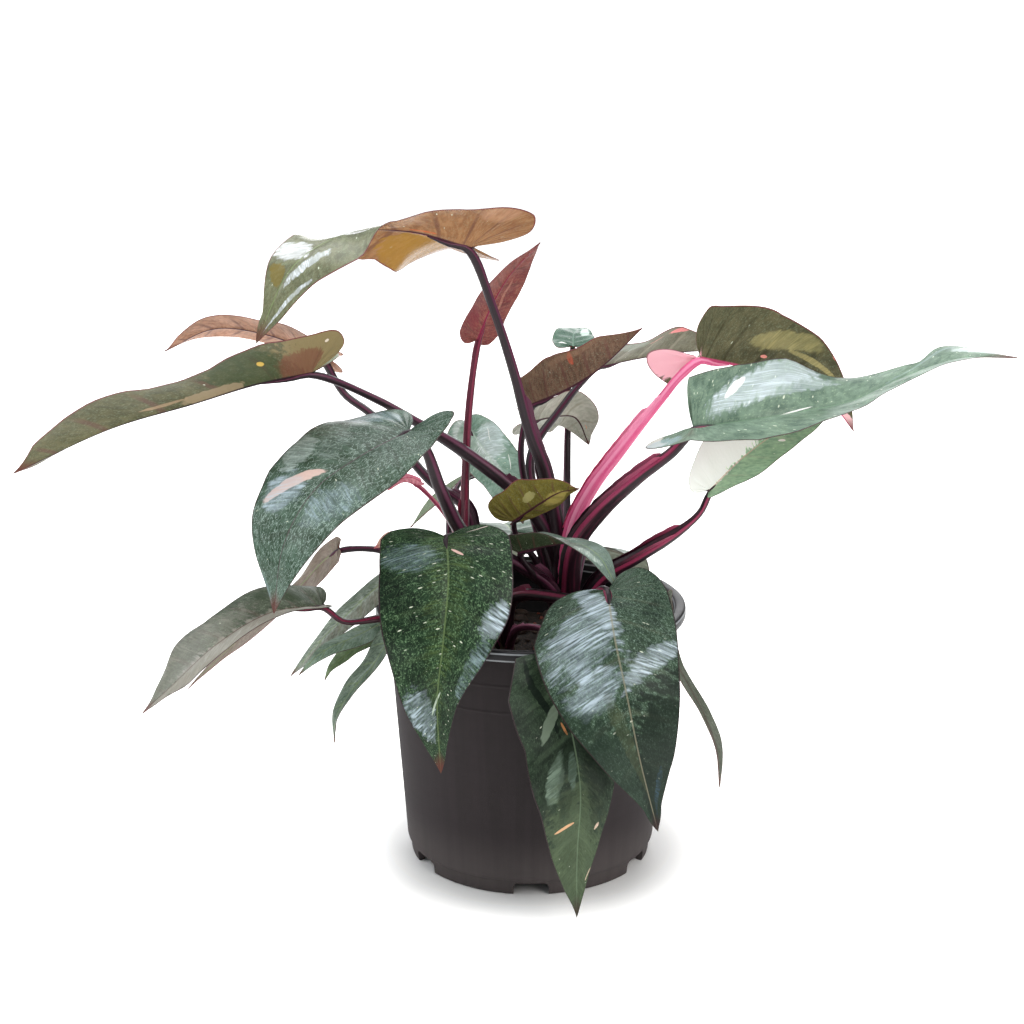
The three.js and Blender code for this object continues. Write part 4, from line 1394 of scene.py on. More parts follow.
@dataclass(frozen=True)
class Pot:
    """The nursery pot, in millimetres: rolled lip, tapered wall with thin rings, notched foot."""

    height: float = 183.0
    lip_radius: float = 108.0
    lip_depth: float = 8.0
    foot_radius: float = 85.0
    foot_height: float = 10.0
    wall_foot: float = 87.0
    wall_top: float = 99.7
    wall: float = 1.8
    rings: tuple[float, ...] = (136.0, 155.0)
    ring_rise: float = 0.35
    steps: tuple[Pair, ...] = ((168, 0), (160, 0), (158.6, 1.0), (150, 1.0), (148.6, 1.6))  # inside
    notches: int = 6
    notch_width: float = 24.0
    notch_corner: float = 3.5
    drain_radius: float = 6.0
    drain_circle: float = 62.0
    segments: int = 192
    finish: PotFinish = PotFinish()

    def radius(self, z: float) -> float:
        """Is the wall's outer radius at a height."""
        return self.wall_foot + (self.wall_top - self.wall_foot) * z / (self.height - self.lip_depth)

    def profile(self) -> list[Pair]:
        """Draws the closed outline that is turned about the middle.

        Returns:
            Radius and height of each of its points.
        """
        top, plate, under = self.height, self.foot_height, self.height - self.lip_depth
        sole, rim, neck = self.foot_radius, self.lip_radius, self.radius(under)
        bevel = self.radius(plate + 3)
        foot = [
            (0.0, plate), (sole - 5, plate), (sole - 4.6, 0.6), (sole - 4.2, 0.0), (sole - 1.2, 0.0),
            (sole - 0.3, 0.5), (sole, 1.5), (sole + 0.7, plate - 1), (sole + 1.2, plate + 0.6),
            (bevel - 0.3, plate + 1.8), (bevel, plate + 3),
        ]
        wall = [(self.radius(z), z) for z in np.linspace(plate + 4, self.rings[0] - 6, 14)]
        for z in self.rings:
            for step, rise in RING_SHAPE:
                wall.append((self.radius(z + step) + self.ring_rise * rise, z + step))
        lip = [
            (self.radius(under - 4), under - 4), (self.radius(under - 1), under - 1),
            (neck + 0.6, under - 0.3), (rim - 1.8, under), (rim - 0.5, under + 0.5), (rim, under + 1.6),
            (rim, top - 2.4), (rim - 0.5, top - 1.1), (rim - 1.7, top - 0.2), (rim - 3.4, top),
            (rim - 5.4, top - 0.2), (rim - 7.2, top - 0.9), (rim - 8.6, top - 2.6),
            (neck - self.wall + 0.3, under + 1.5), (neck - self.wall, under - 1),
        ]
        inside = [
            (self.radius(z) - self.wall - step, z)
            for z, step in (*self.steps, (plate + 6, self.steps[-1][1]))
        ]
        floor = [(self.radius(plate) - self.wall - 4, plate + self.wall), (0.0, plate + self.wall)]
        return foot + wall + lip + inside + floor

    def build(self) -> None:
        """Makes the pot and cuts its notches and drain holes."""
        outline = self.profile()
        turn = np.arange(self.segments) / self.segments * math.tau
        skin = Skin()
        rings: list[list[int]] = []
        for radius, z in outline:
            if radius == 0:
                rings.append([len(skin.points)] * self.segments)
                skin.points.append((0.0, 0.0, z))
            else:
                rings.append(list(range(len(skin.points), len(skin.points) + self.segments)))
                skin.points.extend((radius * math.cos(a), radius * math.sin(a), z) for a in turn)
        for i in range(len(outline) - 1):
            for k in range(self.segments):
                n = (k + 1) % self.segments
                corners = (rings[i][k], rings[i][n], rings[i + 1][n], rings[i + 1][k])
                skin.face(corners, [(k / self.segments, i / len(outline))] * 4)
        pot = skin.piece("nursery_pot", [self.finish.dress("pot_plastic")], Slot.POT, ["pot"], 35.0)
        for k in range(self.notches):
            self._cut(pot, k * math.tau / self.notches)

    def _cut(self, pot: bpy.types.Object, angle: float) -> None:
        """Cuts one notch with round upper corners, and one drain hole.

        Args:
            pot: The pot.
            angle: How far both are turned about its axis.
        """
        half, roof, radius = self.notch_width / 2, self.foot_height - 1.2, self.notch_corner
        arch = [(-half, -6.0), (half, -6.0)]
        for centre, first in ((half - radius, 0.0), (radius - half, math.pi / 2)):
            for step in np.linspace(first, first + math.pi / 2, 6):
                arch.append((centre + radius * math.cos(step), roof - radius + radius * math.sin(step)))
        drain = [
            (self.drain_radius * math.cos(a), self.drain_radius * math.sin(a))
            for a in np.linspace(0, math.tau, 25)[:-1]
        ]
        shapes = (
            [[(x, -self.foot_radius + depth, z) for x, z in arch] for depth in (-9.0, 11.0)],
            [[(x, y - self.drain_circle, z) for x, y in drain] for z in (6.0, 16.0)],
        )
        for near, far in shapes:
            self._subtract(pot, near, far, angle)

    @staticmethod
    def _subtract(
        pot: bpy.types.Object, near: Sequence[Point], far: Sequence[Point], angle: float
    ) -> None:
        """Cuts a straight plug out of the pot.

        Args:
            pot: The pot.
            near: The plug's first end, in millimetres.
            far: Its other end.
            angle: How far the plug is turned about the pot's axis.
        """
        count = len(near)
        mesh = bpy.data.meshes.new("plug")
        sides = [(k, (k + 1) % count, (k + 1) % count + count, k + count) for k in range(count)]
        ends = [tuple(range(count))[::-1], tuple(range(count, 2 * count))]
        points = np.array([*near, *far]) @ turned(angle, 2).T * MM
        mesh.from_pydata(points.tolist(), [], sides + ends)
        made = bmesh.new()
        made.from_mesh(mesh)
        bmesh.ops.recalc_face_normals(made, faces=made.faces)
        made.to_mesh(mesh)
        made.free()
        plug = bpy.data.objects.new("plug", mesh)
        bpy.context.scene.collection.objects.link(plug)
        cut = pot.modifiers.new("cut", "BOOLEAN")
        cut.operation = "DIFFERENCE"
        cut.solver = "EXACT"
        cut.object = plug
        bpy.context.view_layer.objects.active = pot
        with bpy.context.temp_override(object=pot, active_object=pot, selected_objects=[pot]):
            bpy.ops.object.modifier_apply(modifier=cut.name)
        bpy.data.objects.remove(plug)


@dataclass(frozen=True)
class PottingMix:
    """The filled pot's mix, in millimetres, with bark chips and fertiliser prills on top."""

    pot: Pot
    level: float = 143.0
    mound: float = 2.2
    lumps: tuple[Pair, ...] = ((30.0, 0.9), (9.0, 0.8), (4.0, 0.5))  # their sizes and heights
    clearance: float = 1.4  # between the mix and the pot's wall
    lowest: float = 0.4  # between the mix and the pot's bottom
    rings: int = 44
    sides: int = 132
    hub: float = 0.015  # share of the surface's radius that its first ring has
    chips: int = 210
    chip_sizes: Pair = (2.2, 7.5)
    chip_flatness: float = 0.38
    prills: int = 70
    prill_sizes: Pair = (1.5, 2.0)
    spread: float = 0.9  # share of the surface that they reach
    room: float = 1.25  # room to the wall, in radii of a chip
    dents: float = 0.16
    tip: float = 0.4  # radians
    lift: float = 0.35  # share of its height that a bit's middle stands above the mix
    seed: int = 31

    def height(self, spots: np.ndarray) -> np.ndarray:
        """Reads the height of the surface.

        Args:
            spots: Points, of which x and y are read.

        Returns:
            One height for each.
        """
        far = np.linalg.norm(spots[:, :2], axis=1) / self.pot.radius(self.level)
        flat = np.column_stack([spots[:, :2], np.zeros(len(spots))])
        rough = sum(
            bumps(flat, size, self.seed + i) * high for i, (size, high) in enumerate(self.lumps)
        )
        return self.level + self.mound * (1 - far**2) + rough * smoothstep(far, 1.0, 0.9)

    def build(self) -> None:
        """Makes the mix, the chips and the prills."""
        edge = self.pot.radius(self.level) - self.pot.wall - self.clearance
        turn = np.arange(self.sides) / self.sides * math.tau
        rings = []
        for share in np.linspace(self.hub, 1.0, self.rings):
            flat = np.column_stack([np.cos(turn), np.sin(turn)]) * edge * share
            rings.append(np.column_stack([flat, self.height(flat)]))
        low = self.pot.foot_height + self.pot.wall + self.lowest
        for z, inset in ((self.level - 12, 1.8), (low + 8, 2.4), (low, 5.2)):
            flat = np.column_stack([np.cos(turn), np.sin(turn)])
            flat = flat * (self.pot.radius(z) - self.pot.wall - inset)
            rings.append(np.column_stack([flat, np.full(self.sides, z)]))
        skin = Skin()
        skin.rings(np.array(rings), np.linspace(0, 1, len(rings)).tolist())
        skin.piece("potting_mix", [MixFinish().dress("potting_mix")], Slot.SOIL, ["soil"], 60.0)
        dice = np.random.default_rng(self.seed)
        bark = GrainFinish("#3c291d", "#241913", 0.75)
        prill = GrainFinish("#7a3320", "#5b2a1c", 0.4)
        self._scatter("bark_chips", bark, self.chips, self.chip_sizes, self.chip_flatness, dice)
        self._scatter("fertiliser_prills", prill, self.prills, self.prill_sizes, 1.0, dice)

    def _scatter(
        self,
        name: str,
        finish: GrainFinish,
        count: int,
        sizes: Pair,
        flatness: float,
        dice: np.random.Generator,
    ) -> None:
        """Lays rounded bits on the mix.

        Args:
            name: The piece's name.
            finish: The bits' finish.
            count: How many there are.
            sizes: The smallest and the largest radius.
            flatness: Their height as a share of their width.
            dice: The source of the random draws.
        """
        ball = bmesh.new()
        bmesh.ops.create_icosphere(ball, subdivisions=2, radius=1.0)
        shape = np.array([v.co[:] for v in ball.verts])
        faces = [tuple(v.index for v in f.verts) for f in ball.faces]
        ball.free()
        skin = Skin()
        outer = self.pot.radius(self.level)
        jagged = flatness < 1
        for _ in range(count):
            size = dice.uniform(*sizes)
            far, turn = math.sqrt(dice.uniform(0.0, self.spread)) * outer, dice.uniform(0, math.tau)
            far = min(far, outer - self.pot.wall - self.clearance - size * self.room)
            x, y = far * math.cos(turn), far * math.sin(turn)
            narrowed = size * dice.uniform(0.5, 0.9) if jagged else size
            dents = self.dents * bumps(shape, 1.3, int(dice.integers(1000)))[:, None] * jagged
            bit = shape * (1 + dents) * np.array([size, narrowed, size * flatness])
            spin, tip = dice.uniform(0, math.tau), dice.uniform(-self.tip, self.tip)
            z = float(self.height(np.array([[x, y]]))[0]) + size * flatness * self.lift
            bit = bit @ turned(tip, 0).T @ turned(spin, 2).T + [x, y, z]
            start = len(skin.points)
            skin.points.extend(bit)
            for face in faces:
                skin.face([start + k for k in face], [(0.5, 0.5)] * 3)
        skin.piece(name, [finish.dress(name)], Slot.SOIL, (), 60.0)


# ------------ studio


@dataclass(frozen=True)
class Lamp:
    """A soft square light, in metres, that faces the plant."""

    name: str
    place: Point
    size: float
    power: float
    colour: str = "#ffffff"
    aim: Point = (0.0, 0.0, 0.22)

    def build(self) -> None:
        """Makes the light."""
        light = bpy.data.lights.new(self.name, "AREA")
        light.shape = "SQUARE"
        light.size = self.size
        light.energy = self.power
        light.color = linear(self.colour)[:3]
        lamp = bpy.data.objects.new(self.name, light)
        lamp.location = self.place
        way = Vector(self.aim) - Vector(self.place)
        lamp.rotation_euler = way.to_track_quat("-Z", "Y").to_euler()
        bpy.context.scene.collection.objects.link(lamp)


@dataclass(frozen=True)
class Studio:
    """The floor, the lights and the camera, in metres."""

    eye: Point = (-0.013, -1.300, 0.610)
    pitch: float = 74.4
    lens: float = 68.9
    sensor: float = 36.0
    sky: tuple[tuple[float, str], ...] = (
        (0.015, "#ffffff"), (0.04, "#4c4a48"), (0.1, "#4c4a48"), (0.75, "#e8eef4"),
    )  # from the floor's edge, at 0, to overhead, at 1
    sky_strength: float = 0.8
    sight: float = 60.0
    floor_reach: float = 150.0
    lamps: tuple[Lamp, ...] = (
        Lamp("overhead", (-0.2, 0.5, 2.2), 1.8, 34.0, "#fdfdff"),
        Lamp("window", (-2.0, 0.3, 1.5), 1.5, 30.0, "#fafcff"),
        Lamp("rear", (0.3, 2.3, 1.1), 1.6, 24.0, "#fdfdff"),
        Lamp("front", (1.9, -1.9, 2.0), 2.0, 52.0, "#fffbf8"),
    )

    def build(self) -> None:
        """Makes everything round the plant."""
        mesh = bpy.data.meshes.new("floor")
        reach = self.floor_reach
        corners = [(x * reach, y * reach, 0) for x, y in ((-1, -1), (1, -1), (1, 1), (-1, 1))]
        mesh.from_pydata(corners, [], [(0, 1, 2, 3)])
        mesh.materials.append(FloorFinish().dress("floor"))
        floor = bpy.data.objects.new("floor", mesh)
        bpy.context.scene.collection.objects.link(floor)
        self._sky()
        scene = bpy.context.scene
        scene.view_settings.view_transform = "Standard"
        for lamp in self.lamps:
            lamp.build()
        data = bpy.data.cameras.new("camera")
        data.lens = self.lens
        data.sensor_width = self.sensor
        data.clip_end = self.sight
        camera = bpy.data.objects.new("camera", data)
        camera.location = self.eye
        camera.rotation_euler = (math.radians(self.pitch), 0.0, 0.0)
        scene.collection.objects.link(camera)
        scene.camera = camera

    def _sky(self) -> None:
        """Makes the surroundings: bright overhead, dim below, with a pale line at the floor."""
        world = bpy.data.worlds.new("studio")
        net = Network(world)
        up = net.axes(net.node("ShaderNodeTexCoord", {}, {})["Generated"])[2]
        stops = [(place, linear(colour)) for place, colour in self.sky]
        shade = net.node("ShaderNodeValToRGB", {"stops": stops}, {0: up})[0]
        values = {"Color": shade, "Strength": self.sky_strength}
        light = net.node("ShaderNodeBackground", {}, values)[0]
        net.node("ShaderNodeOutputWorld", {}, {"Surface": light})
        bpy.context.scene.world = world


# ------------ this plant

CANES = (
    Cane(Root.MAIN, ((26, 2, 107), (25, 0, 150), (24, -2, 186)), (9, 9.5, 6)),
    Cane(Root.FRONT, ((-18, -24, 107), (-17, -25, 145), (-17, -26, 172)), (7, 7, 5)),
    Cane(Root.LEFT, ((-46, 10, 107), (-45, 10, 150), (-45, 10, 178)), (7.5, 7.5, 5)),
)

GREEN_LEAF = LeafFinish(under="#8b9080", under_dark="#6c7262", margin="#3f282b")
OLIVE_LEAF = LeafFinish(
    top="#87917a", top_dark="#6a735c", under="#6b6c4b", under_dark="#505339", midrib_under="#2a1c24"
)
BROWN_LEAF = LeafFinish(
    top="#a98270", top_dark="#86634f", under="#8f6b55", under_dark="#6f4f3e", flecks=0.15
)
COPPER_LEAF = LeafFinish(
    top="#7d8365", top_dark="#5b6248", under="#a17a59", under_dark="#7f5b43", gloss=0.5
)
GREY_LEAF = LeafFinish(
    top="#7b8476", top_dark="#636b5e", under="#7b7c6b", under_dark="#62634f", flecks=0.2,
    vein_under="#8f8a78",
)
PALE_LEAF = LeafFinish(top="#9cbaa8", top_dark="#7a9c88", midrib="#b9cdbd", flecks=0.4)
RED_LEAF = LeafFinish(
    top="#8c5048", top_dark="#6b3a35", under="#96605a", under_dark="#6f3640",
    midrib_under="#7d2440", flecks=0.1,
)
PINK_LEAF = LeafFinish(
    top="#e0859a", top_dark="#c76a80", under="#dc8c98", under_dark="#bd6c7c", midrib="#eaa9b6",
    midrib_under="#9c4258", vein_under="#a8566a", fleck="#f3c9d0", margin="#b8485f", tip="#c9606f",
)

LEAVES: tuple[Leaf, ...] = (
    Leaf(
        "top_left", Root.MAIN, Slot.GREEN, width=98,
        spine=((-41, -10, 431), (-78, -28, 444), (-115, -48, 446), (-150, -72, 428), (-173, -92, 382)),
        left=(50, 40, -5, -25, -35), right=(-5, -45, -50, 20, 48, 50),
        full_left=(1, 1, 1, 1.12, 0.94, 0.74, 0.3, 0.85, 0.87, 1, 1),
        full_right=(1, 0.5, 0.35, 0.4, 0.6, 0.9, 0.55, 0.68, 0.65, 0.4, 1), lobes=(8, -5), reach=(1.15, 1),
        wave=(3, 2.5), thick=(6.5, 5.5, 5, 4.4, 3.8, 3.2, 2.8),
        stalk=((24, 0, 165), (19, 0, 227), (10, -2, 274), (-1, -3, 306), (-12, -5, 348), (-26, -8, 392)),
        sheath=0.62,
        finish=replace(
            COPPER_LEAF, top_dark="#54563f", top="#737459", under_dark="#7c563d", under="#9d7451",
            specks=0.1,
        ),
        patches=(
            Patch(0.545, 0.52, 0.088, 0.53, "#9c7636", 0.9, 0.2, -0.03, face=Face.UNDER),
            Patch(0.579, 0.02, 0.03, 0.03, "#c9603c", 0.85, 0.3, face=Face.UNDER),
            Patch(0.579, -0.12, 0.03, 0.03, "#c9603c", 0.7, 0.3, face=Face.UNDER),
            Patch(0.388, -0.82, 0.06, 0.2, "#b98f74", 0.6, 0.5, face=Face.UNDER),
            # The next three patches are a painted sheen, and the white one after them a painted highlight
            # line.
            Patch(0.788, 0.5, 0.022, 0.55, "#f2f6fa", 0.95, 0.55, -0.02),
            Patch(0.809, -0.33, 0.045, 0.18, "#e4ecf2", 0.9, 0.6, 0.2),
            Patch(0.885, -0.7, 0.036, 0.18, "#e4ecf2", 0.85, 0.6, 0.4),
            Patch(0.704, -0.22, 0.006, 0.24, "#ffffff", 0.8, 0.5, 0.1),
            Patch(0.841, 0.5, 0.021, 0.4, "#77682f", 0.85, 0.2, -0.06),
        ),
    ),
    Leaf(
        "far_left", Root.MAIN, Slot.OLIVE, width=92,
        spine=((-147, -10, 347), (-183, -22, 342), (-225, -35, 331), (-275, -48, 318), (-339, -60, 290)),
        left=(62, 50, 50, 55), right=(15, 15, 0, -30),
        full_left=(1, 1, 1, 1, 0.9, 0.92, 0.75, 1, 1.5, 2.1, 1), reach=(0.72, 0.8), curl=-18,
        wave=(2.5, 2.5), thick=(6.5, 6, 5.6, 5.2, 4.8, 3.4, 2.8, 2.4),
        stalk=((22, 0, 170), (20, 2, 210), (-1, 3, 251), (-42, 6, 286), (-76, 10, 307), (-106, 8, 325)),
        sheath=0.44,
        finish=replace(
            OLIVE_LEAF, top_dark="#5f6651", top="#7a816b", under_dark="#474732", under="#5f5c41",
        ),
        patches=(
            Patch(0.22, -0.55, 0.28, 0.95, "#887956", 0.9, 0.06, face=Face.UNDER),
            Patch(0.4, -0.2, 0.13, 0.44, "#734a3b", 0.85, 0.15, face=Face.UNDER),
            Patch(0.57, -0.5, 0.062, 0.62, "#3d4b33", 0.75, 0.3, face=Face.UNDER),
            Patch(0.645, -0.12, 0.05, 0.16, "#8f7f64", 0.9, 0.06, face=Face.UNDER),
            Patch(0.72, -0.2, 0.035, 0.05, "#9c8467", 0.8, 0.2, face=Face.UNDER),
            Patch(0.545, -0.5, 0.007, 0.07, "#cfae58", 0.95, 0.1, face=Face.UNDER),
            Patch(0.33, -0.77, 0.012, 0.04, "#e6dacb", 0.9, 0.2, face=Face.UNDER),
            Patch(0.891, 0.45, 0.063, 0.46, "#9ba187", 0.7, 0.5, 0.04),
        ),
    ),
    Leaf(
        "behind_left", Root.LEFT, Slot.BROWN, width=62,
        spine=((-146, 40, 350), (-183, 45, 363), (-220, 45, 367), (-254, 40, 352)), left=(40, 45, 40),
        right=(-40, -35, -20), full_left=(1, 1, 1, 0.85, 0.75, 0.74, 0.72, 0.72, 1, 1.3, 1),
        full_right=(1, 1, 1, 0.8, 0.6, 0.5, 0.5, 0.6, 0.8, 1, 1), thick=(5, 2.4),
        stalk=((-45, 10, 165), (-43, 25, 239), (-71, 38, 260), (-111, 42, 306), (-130, 42, 321)),
        finish=replace(
            BROWN_LEAF, top="#b98d76", top_dark="#946b56", under="#bb8c74", under_dark="#8e6450",
        ),
        patches=(Patch(0.657, 0.2, 0.048, 0.88, "#e3b8a8", 0.85, 0.4, 0.1),),
    ),
    Leaf(
        "left", Root.FRONT, Slot.GREEN, width=108,
        spine=((-81, -35, 313), (-111, -60, 302), (-140, -85, 285), (-158, -105, 255), (-165, -112, 211)),
        left=(-5, -5, 0), right=(12, 22, 10),
        full_left=(1, 1, 0.95, 0.68, 0.53, 0.67, 0.77, 0.91, 0.95, 1, 1),
        full_right=(1, 1, 1, 1, 1.05, 1.08, 0.97, 0.9, 1, 1, 1), lobes=(30, -5), reach=(1, 0.7), curl=-20,
        thick=(6, 5.6, 5.4, 5.2, 4.6, 3),
        stalk=((-17, -25, 160), (-28, -20, 217), (-47, -24, 240), (-61, -30, 272), (-71, -34, 301)),
        sheath=0.5,
        finish=replace(
            GREEN_LEAF, top_dark="#283929", top="#4e6455", midrib="#4f3440", specks=0.12, flecks=0.25,
            fleck="#8fa398", wrinkle_sheen=0.9,
        ),
        patches=(
            Patch(0.71, 0.48, 0.017, 0.39, "#dcbdb2", 0.95, 0.12, 0.08),
            # The pale bluish patches from here to the end are a painted sheen.
            Patch(0.73, 0.55, 0.042, 0.35, "#b9cbd6", 0.85, 0.75, -0.02),
            Patch(0.721, -0.5, 0.06, 0.4, "#9fb3bd", 0.5, 0.8, 0.07),
            Patch(0.368, 0.68, 0.1, 0.35, "#9fb3be", 0.45, 0.6, 0.12),
            Patch(0.633, 0.8, 0.049, 0.22, "#b4c4be", 0.9, 0.6, -0.11),
            Patch(0.589, 0.52, 0.049, 0.27, "#9fb1aa", 0.5, 0.8, -0.17),
            Patch(0.932, 0.88, 0.04, 0.13, "#8fa5ae", 0.5, 0.7, -0.3),
        ),
    ),
    Leaf(
        "variegated", Root.LEFT, Slot.PALE, width=62,
        spine=((-43, 62, 291), (-30, 60, 272), (-17, 48, 252), (-5, 30, 230)), left=(50, 50, 40),
        right=(-50, -50, -40), full_left=(1, 0.6, 0.5, 0.5, 0.55, 0.7, 0.72, 0.78, 0.82, 1, 1),
        full_right=(1, 1, 1, 0.9, 0.8, 0.6, 0.6, 0.6, 0.8, 1, 1), lobes=(0, 40), reach=(0.6, 1.2),
        thick=(4.5, 2.4), stalk=((-45, 10, 165), (-46, 30, 215), (-46, 54, 262)),
        finish=replace(PALE_LEAF, top="#8ea99b", top_dark="#5d7d6c", specks=0.7),
        patches=(
            # This whitish-blue patch on the left half is a painted sheen.
            Patch(0.544, -0.45, 0.094, 0.61, "#dfecee", 0.85, 0.55, 0.09),
            Patch(0.3, 0.5, 0.183, 0.55, "#c6d6d0", 0.7, 0.5, -0.32),
            Patch(0.457, 0.38, 0.103, 0.68, "#eef4f2", 0.8, 0.75, -0.53),
            Patch(0.375, 0.33, 0.202, 0.26, "#5f8a68", 0.6, 0.4, -0.25),
            Patch(0.525, -0.47, 0.006, 0.11, "#f2f5ee", 0.95, 0.2, 0.42),
            Patch(0.667, -0.58, 0.006, 0.09, "#f2f5ee", 0.95, 0.2, 0.4),
        ),
    ),
    Leaf(
        "top_centre", Root.LEFT, Slot.RED, width=46,
        spine=((-37, 20, 364), (-29, 25, 383), (-16, 25, 406), (6, 20, 430)), left=(-70, -60, -60),
        right=(75, 60, 60), full_left=(0.5, 0.5, 0.5, 0.5, 0.6, 0.9, 1.12, 1.2, 1.5, 1.5, 1),
        full_right=(1, 0.85, 0.85, 0.85, 0.9, 1, 1, 1, 1, 0.9, 1), reach=(0.2, 0.5), curl=-10,
        wave=(1.5, 2), thick=(4, 3.4, 3, 2.6, 2.2),
        stalk=((-45, 10, 165), (-46, 14, 237), (-45, 16, 276), (-42, 18, 322)),
        finish=replace(RED_LEAF, under_dark="#672d34", under="#8b5249"),
        patches=(
            Patch(0.52, 0.6, 0.059, 0.44, "#7a2f3a", 0.7, 0.4, 0.03, face=Face.UNDER),
            Patch(0.679, -0.38, 0.086, 0.06, "#b98672", 0.6, 0.4, 0.05, face=Face.UNDER),
        ),
        stalk_finish=StalkFinish(skin="#571a2e", edge="#862843", freckle="#3c1420", blush=0.3),
    ),
    Leaf(
        "centre_brown", Root.MAIN, Slot.BROWN, width=54,
        spine=((1, 28, 317), (24, 25, 328), (47, 20, 344), (76, 20, 372)), left=(-5, 0, 0),
        right=(70, 60, 50), full_right=(1, 0.7, 0.75, 0.8, 0.9, 1, 1, 1.2, 1.45, 1.3, 1), reach=(1, 0.2),
        curl=10, thick=(4, 3, 2.2), stalk=((24, 2, 165), (10, 15, 208), (-7, 26, 285)),
        finish=replace(BROWN_LEAF, under="#705746", under_dark="#513e33"),
        patches=(
            Patch(0.679, 0.75, 0.01, 0.2, "#b3553f", 0.75, 0.4, face=Face.UNDER),
            Patch(0.689, 0.87, 0.095, 0.11, "#8a6a55", 0.6, 0.6, 0.6, face=Face.UNDER),
        ),
    ),
    Leaf(
        "back_small", Root.MAIN, Slot.GREY, width=31, spine=((31, 95, 345), (33, 118, 351), (43, 140, 350)),
        left=(10, 10, 0), right=(10, 10, 0), lobes=(10, 10), wave=(1.5, 2), thick=(4, 2),
        stalk=((24, 2, 165), (26, 58, 215), (28, 112, 275), (29, 114, 325)),
        finish=replace(PALE_LEAF, top="#40604f", top_dark="#2c483b", midrib="#5d7a68", specks=0.15),
        patches=(
            Patch(0.7, 0.6, 0.1, 0.25, "#cfe0d6", 0.9, 0.3),
            Patch(0.45, -0.5, 0.03, 0.2, "#f0f4ee", 0.9, 0.2),
        ),
    ),
    Leaf(
        "back_right", Root.MAIN, Slot.GREY, width=58,
        spine=((46, 60, 337), (78, 78, 340), (115, 92, 342), (156, 100, 340)), left=(0,),
        right=(35, 55, 60), full_right=(1, 1, 1, 1, 1, 1, 1, 1.12, 1, 1, 1), reach=(0.6, 0.6), curl=-10,
        thick=(5, 4.4, 3.6, 3, 2.2), stalk=((24, 2, 165), (17, 20, 206), (0, 45, 273), (21, 55, 307)),
        finish=replace(GREY_LEAF, under="#74715f", under_dark="#5c5a4b"),
        patches=(
            Patch(0.704, 0.9, 0.02, 0.11, "#f08e90", 0.9, 0.2, 0.17, face=Face.UNDER),
            Patch(0.637, 0.72, 0.006, 0.09, "#e79a94", 0.7, 0.4, 0.25, face=Face.UNDER),
            Patch(0.538, 0.77, 0.07, 0.26, "#9cab9c", 0.6, 0.5, -0.12, face=Face.UNDER),
        ),
    ),
    Leaf(
        "back_centre", Root.MAIN, Slot.GREY, width=62,
        spine=((-2, 80, 292), (14, 88, 294), (33, 97, 292), (44, 102, 270)), left=(-20, -30, -30),
        right=(60, 60, 30), full_right=(1, 0.4, 0.45, 0.5, 0.5, 0.6, 0.8, 0.97, 0.95, 0.7, 1),
        reach=(0.4, 0.5), thick=(4, 2.2), stalk=((24, 2, 165), (20, 40, 200), (8, 72, 250)),
        finish=replace(GREY_LEAF, under="#bcbaae", under_dark="#999a8b"),
        patches=(
            Patch(0.854, 0.37, 0.006, 0.07, "#e8825a", 0.9, 0.1, 0.19, face=Face.UNDER),
            Patch(0.883, -0.65, 0.006, 0.24, "#6f7f5c", 0.6, 0.4, -0.27, face=Face.UNDER),
        ),
    ),
    Leaf(
        "pink_right", Root.MAIN, Slot.PINK, width=90,
        spine=((113, -10, 357), (144, 0, 349), (180, 10, 335), (209, 18, 317), (223, 18, 300)),
        left=(-35, 45, 45, 30), right=(80, 78, 72, 50),
        full_right=(1, 1, 1, 1.1, 1, 0.97, 0.95, 1.1, 0.97, 0.95, 1), lobes=(15, 0), reach=(1.6, 0.5),
        thick=(6.8, 6.3, 5.6, 4.8, 3.4, 2.8),
        stalk=((24, -2, 165), (28, -6, 236), (40, -8, 265), (60, -8, 293), (87, -8, 328), (100, -10, 345)),
        sheath=0.85,
        finish=replace(
            OLIVE_LEAF, under="#605b42", under_dark="#474633", vein_under="#2f2c1c", midrib_under="#c24a72",
        ),
        patches=(
            Patch(0.657, 0.65, 0.053, 0.31, "#a39a68", 0.75, 0.45, 0.16, face=Face.UNDER),
            Patch(0.756, 0.65, 0.028, 0.17, "#aba06a", 0.8, 0.4, 0.39, face=Face.UNDER),
            Patch(0.758, 1, 0.009, 0.03, "#ee8d80", 0.9, 0.1, face=Face.UNDER),
            Patch(0.642, 0.25, 0.009, 0.03, "#f09a8e", 0.9, 0.1, face=Face.UNDER),
            Patch(0.04, -0.5, 0.42, 0.8, "#f6bcc6", 1, 0.02, face=None),
            Patch(0.947, 0, 0.047, 1.1, "#f3c3c6", 1, 0.1, 0.02, face=None),
        ),
        stalk_finish=StalkFinish(skin="#e0588a", edge="#f79dbd", freckle="#ef8fb0", blush=0.45),
    ),
    Leaf(
        "long_right", Root.MAIN, Slot.GREEN, width=88,
        spine=(
            (106, -44, 317), (139, -50, 323), (176, -42, 327), (212, -24, 330), (253, 4, 341),
            (294, 22, 350), (336, 32, 349),
        ),
        left=(60, 58, 30, 15, 20), right=(-10, -12, -5, 5, 10),
        full_left=(1, 0.9, 0.9, 0.9, 0.85, 1, 0.97, 0.75, 0.8, 4.5, 1),
        full_right=(1, 1, 1, 0.75, 0.45, 0.75, 0.42, 0.35, 0.6, 1.2, 1), reach=(0.05, 0.8), slim=0.5,
        curl=-10, wave=(3, 2.5), thick=(8, 7.6, 7, 6, 4.4, 3),
        stalk=((26, -8, 165), (30, -25, 231), (46, -32, 257), (72, -42, 284), (92, -44, 300)), sheath=0.86,
        finish=replace(
            # Its comb runs the streaks of its painted sheen lengthwise.
            GREEN_LEAF, comb=(16.0, 60.0), veined=0.2, top="#778d7a", top_dark="#4e6355", midrib="#77927a",
            specks=0.45, flecks=0.5, gloss=0.3, under="#8b8576", under_dark="#6f695c",
        ),
        patches=(
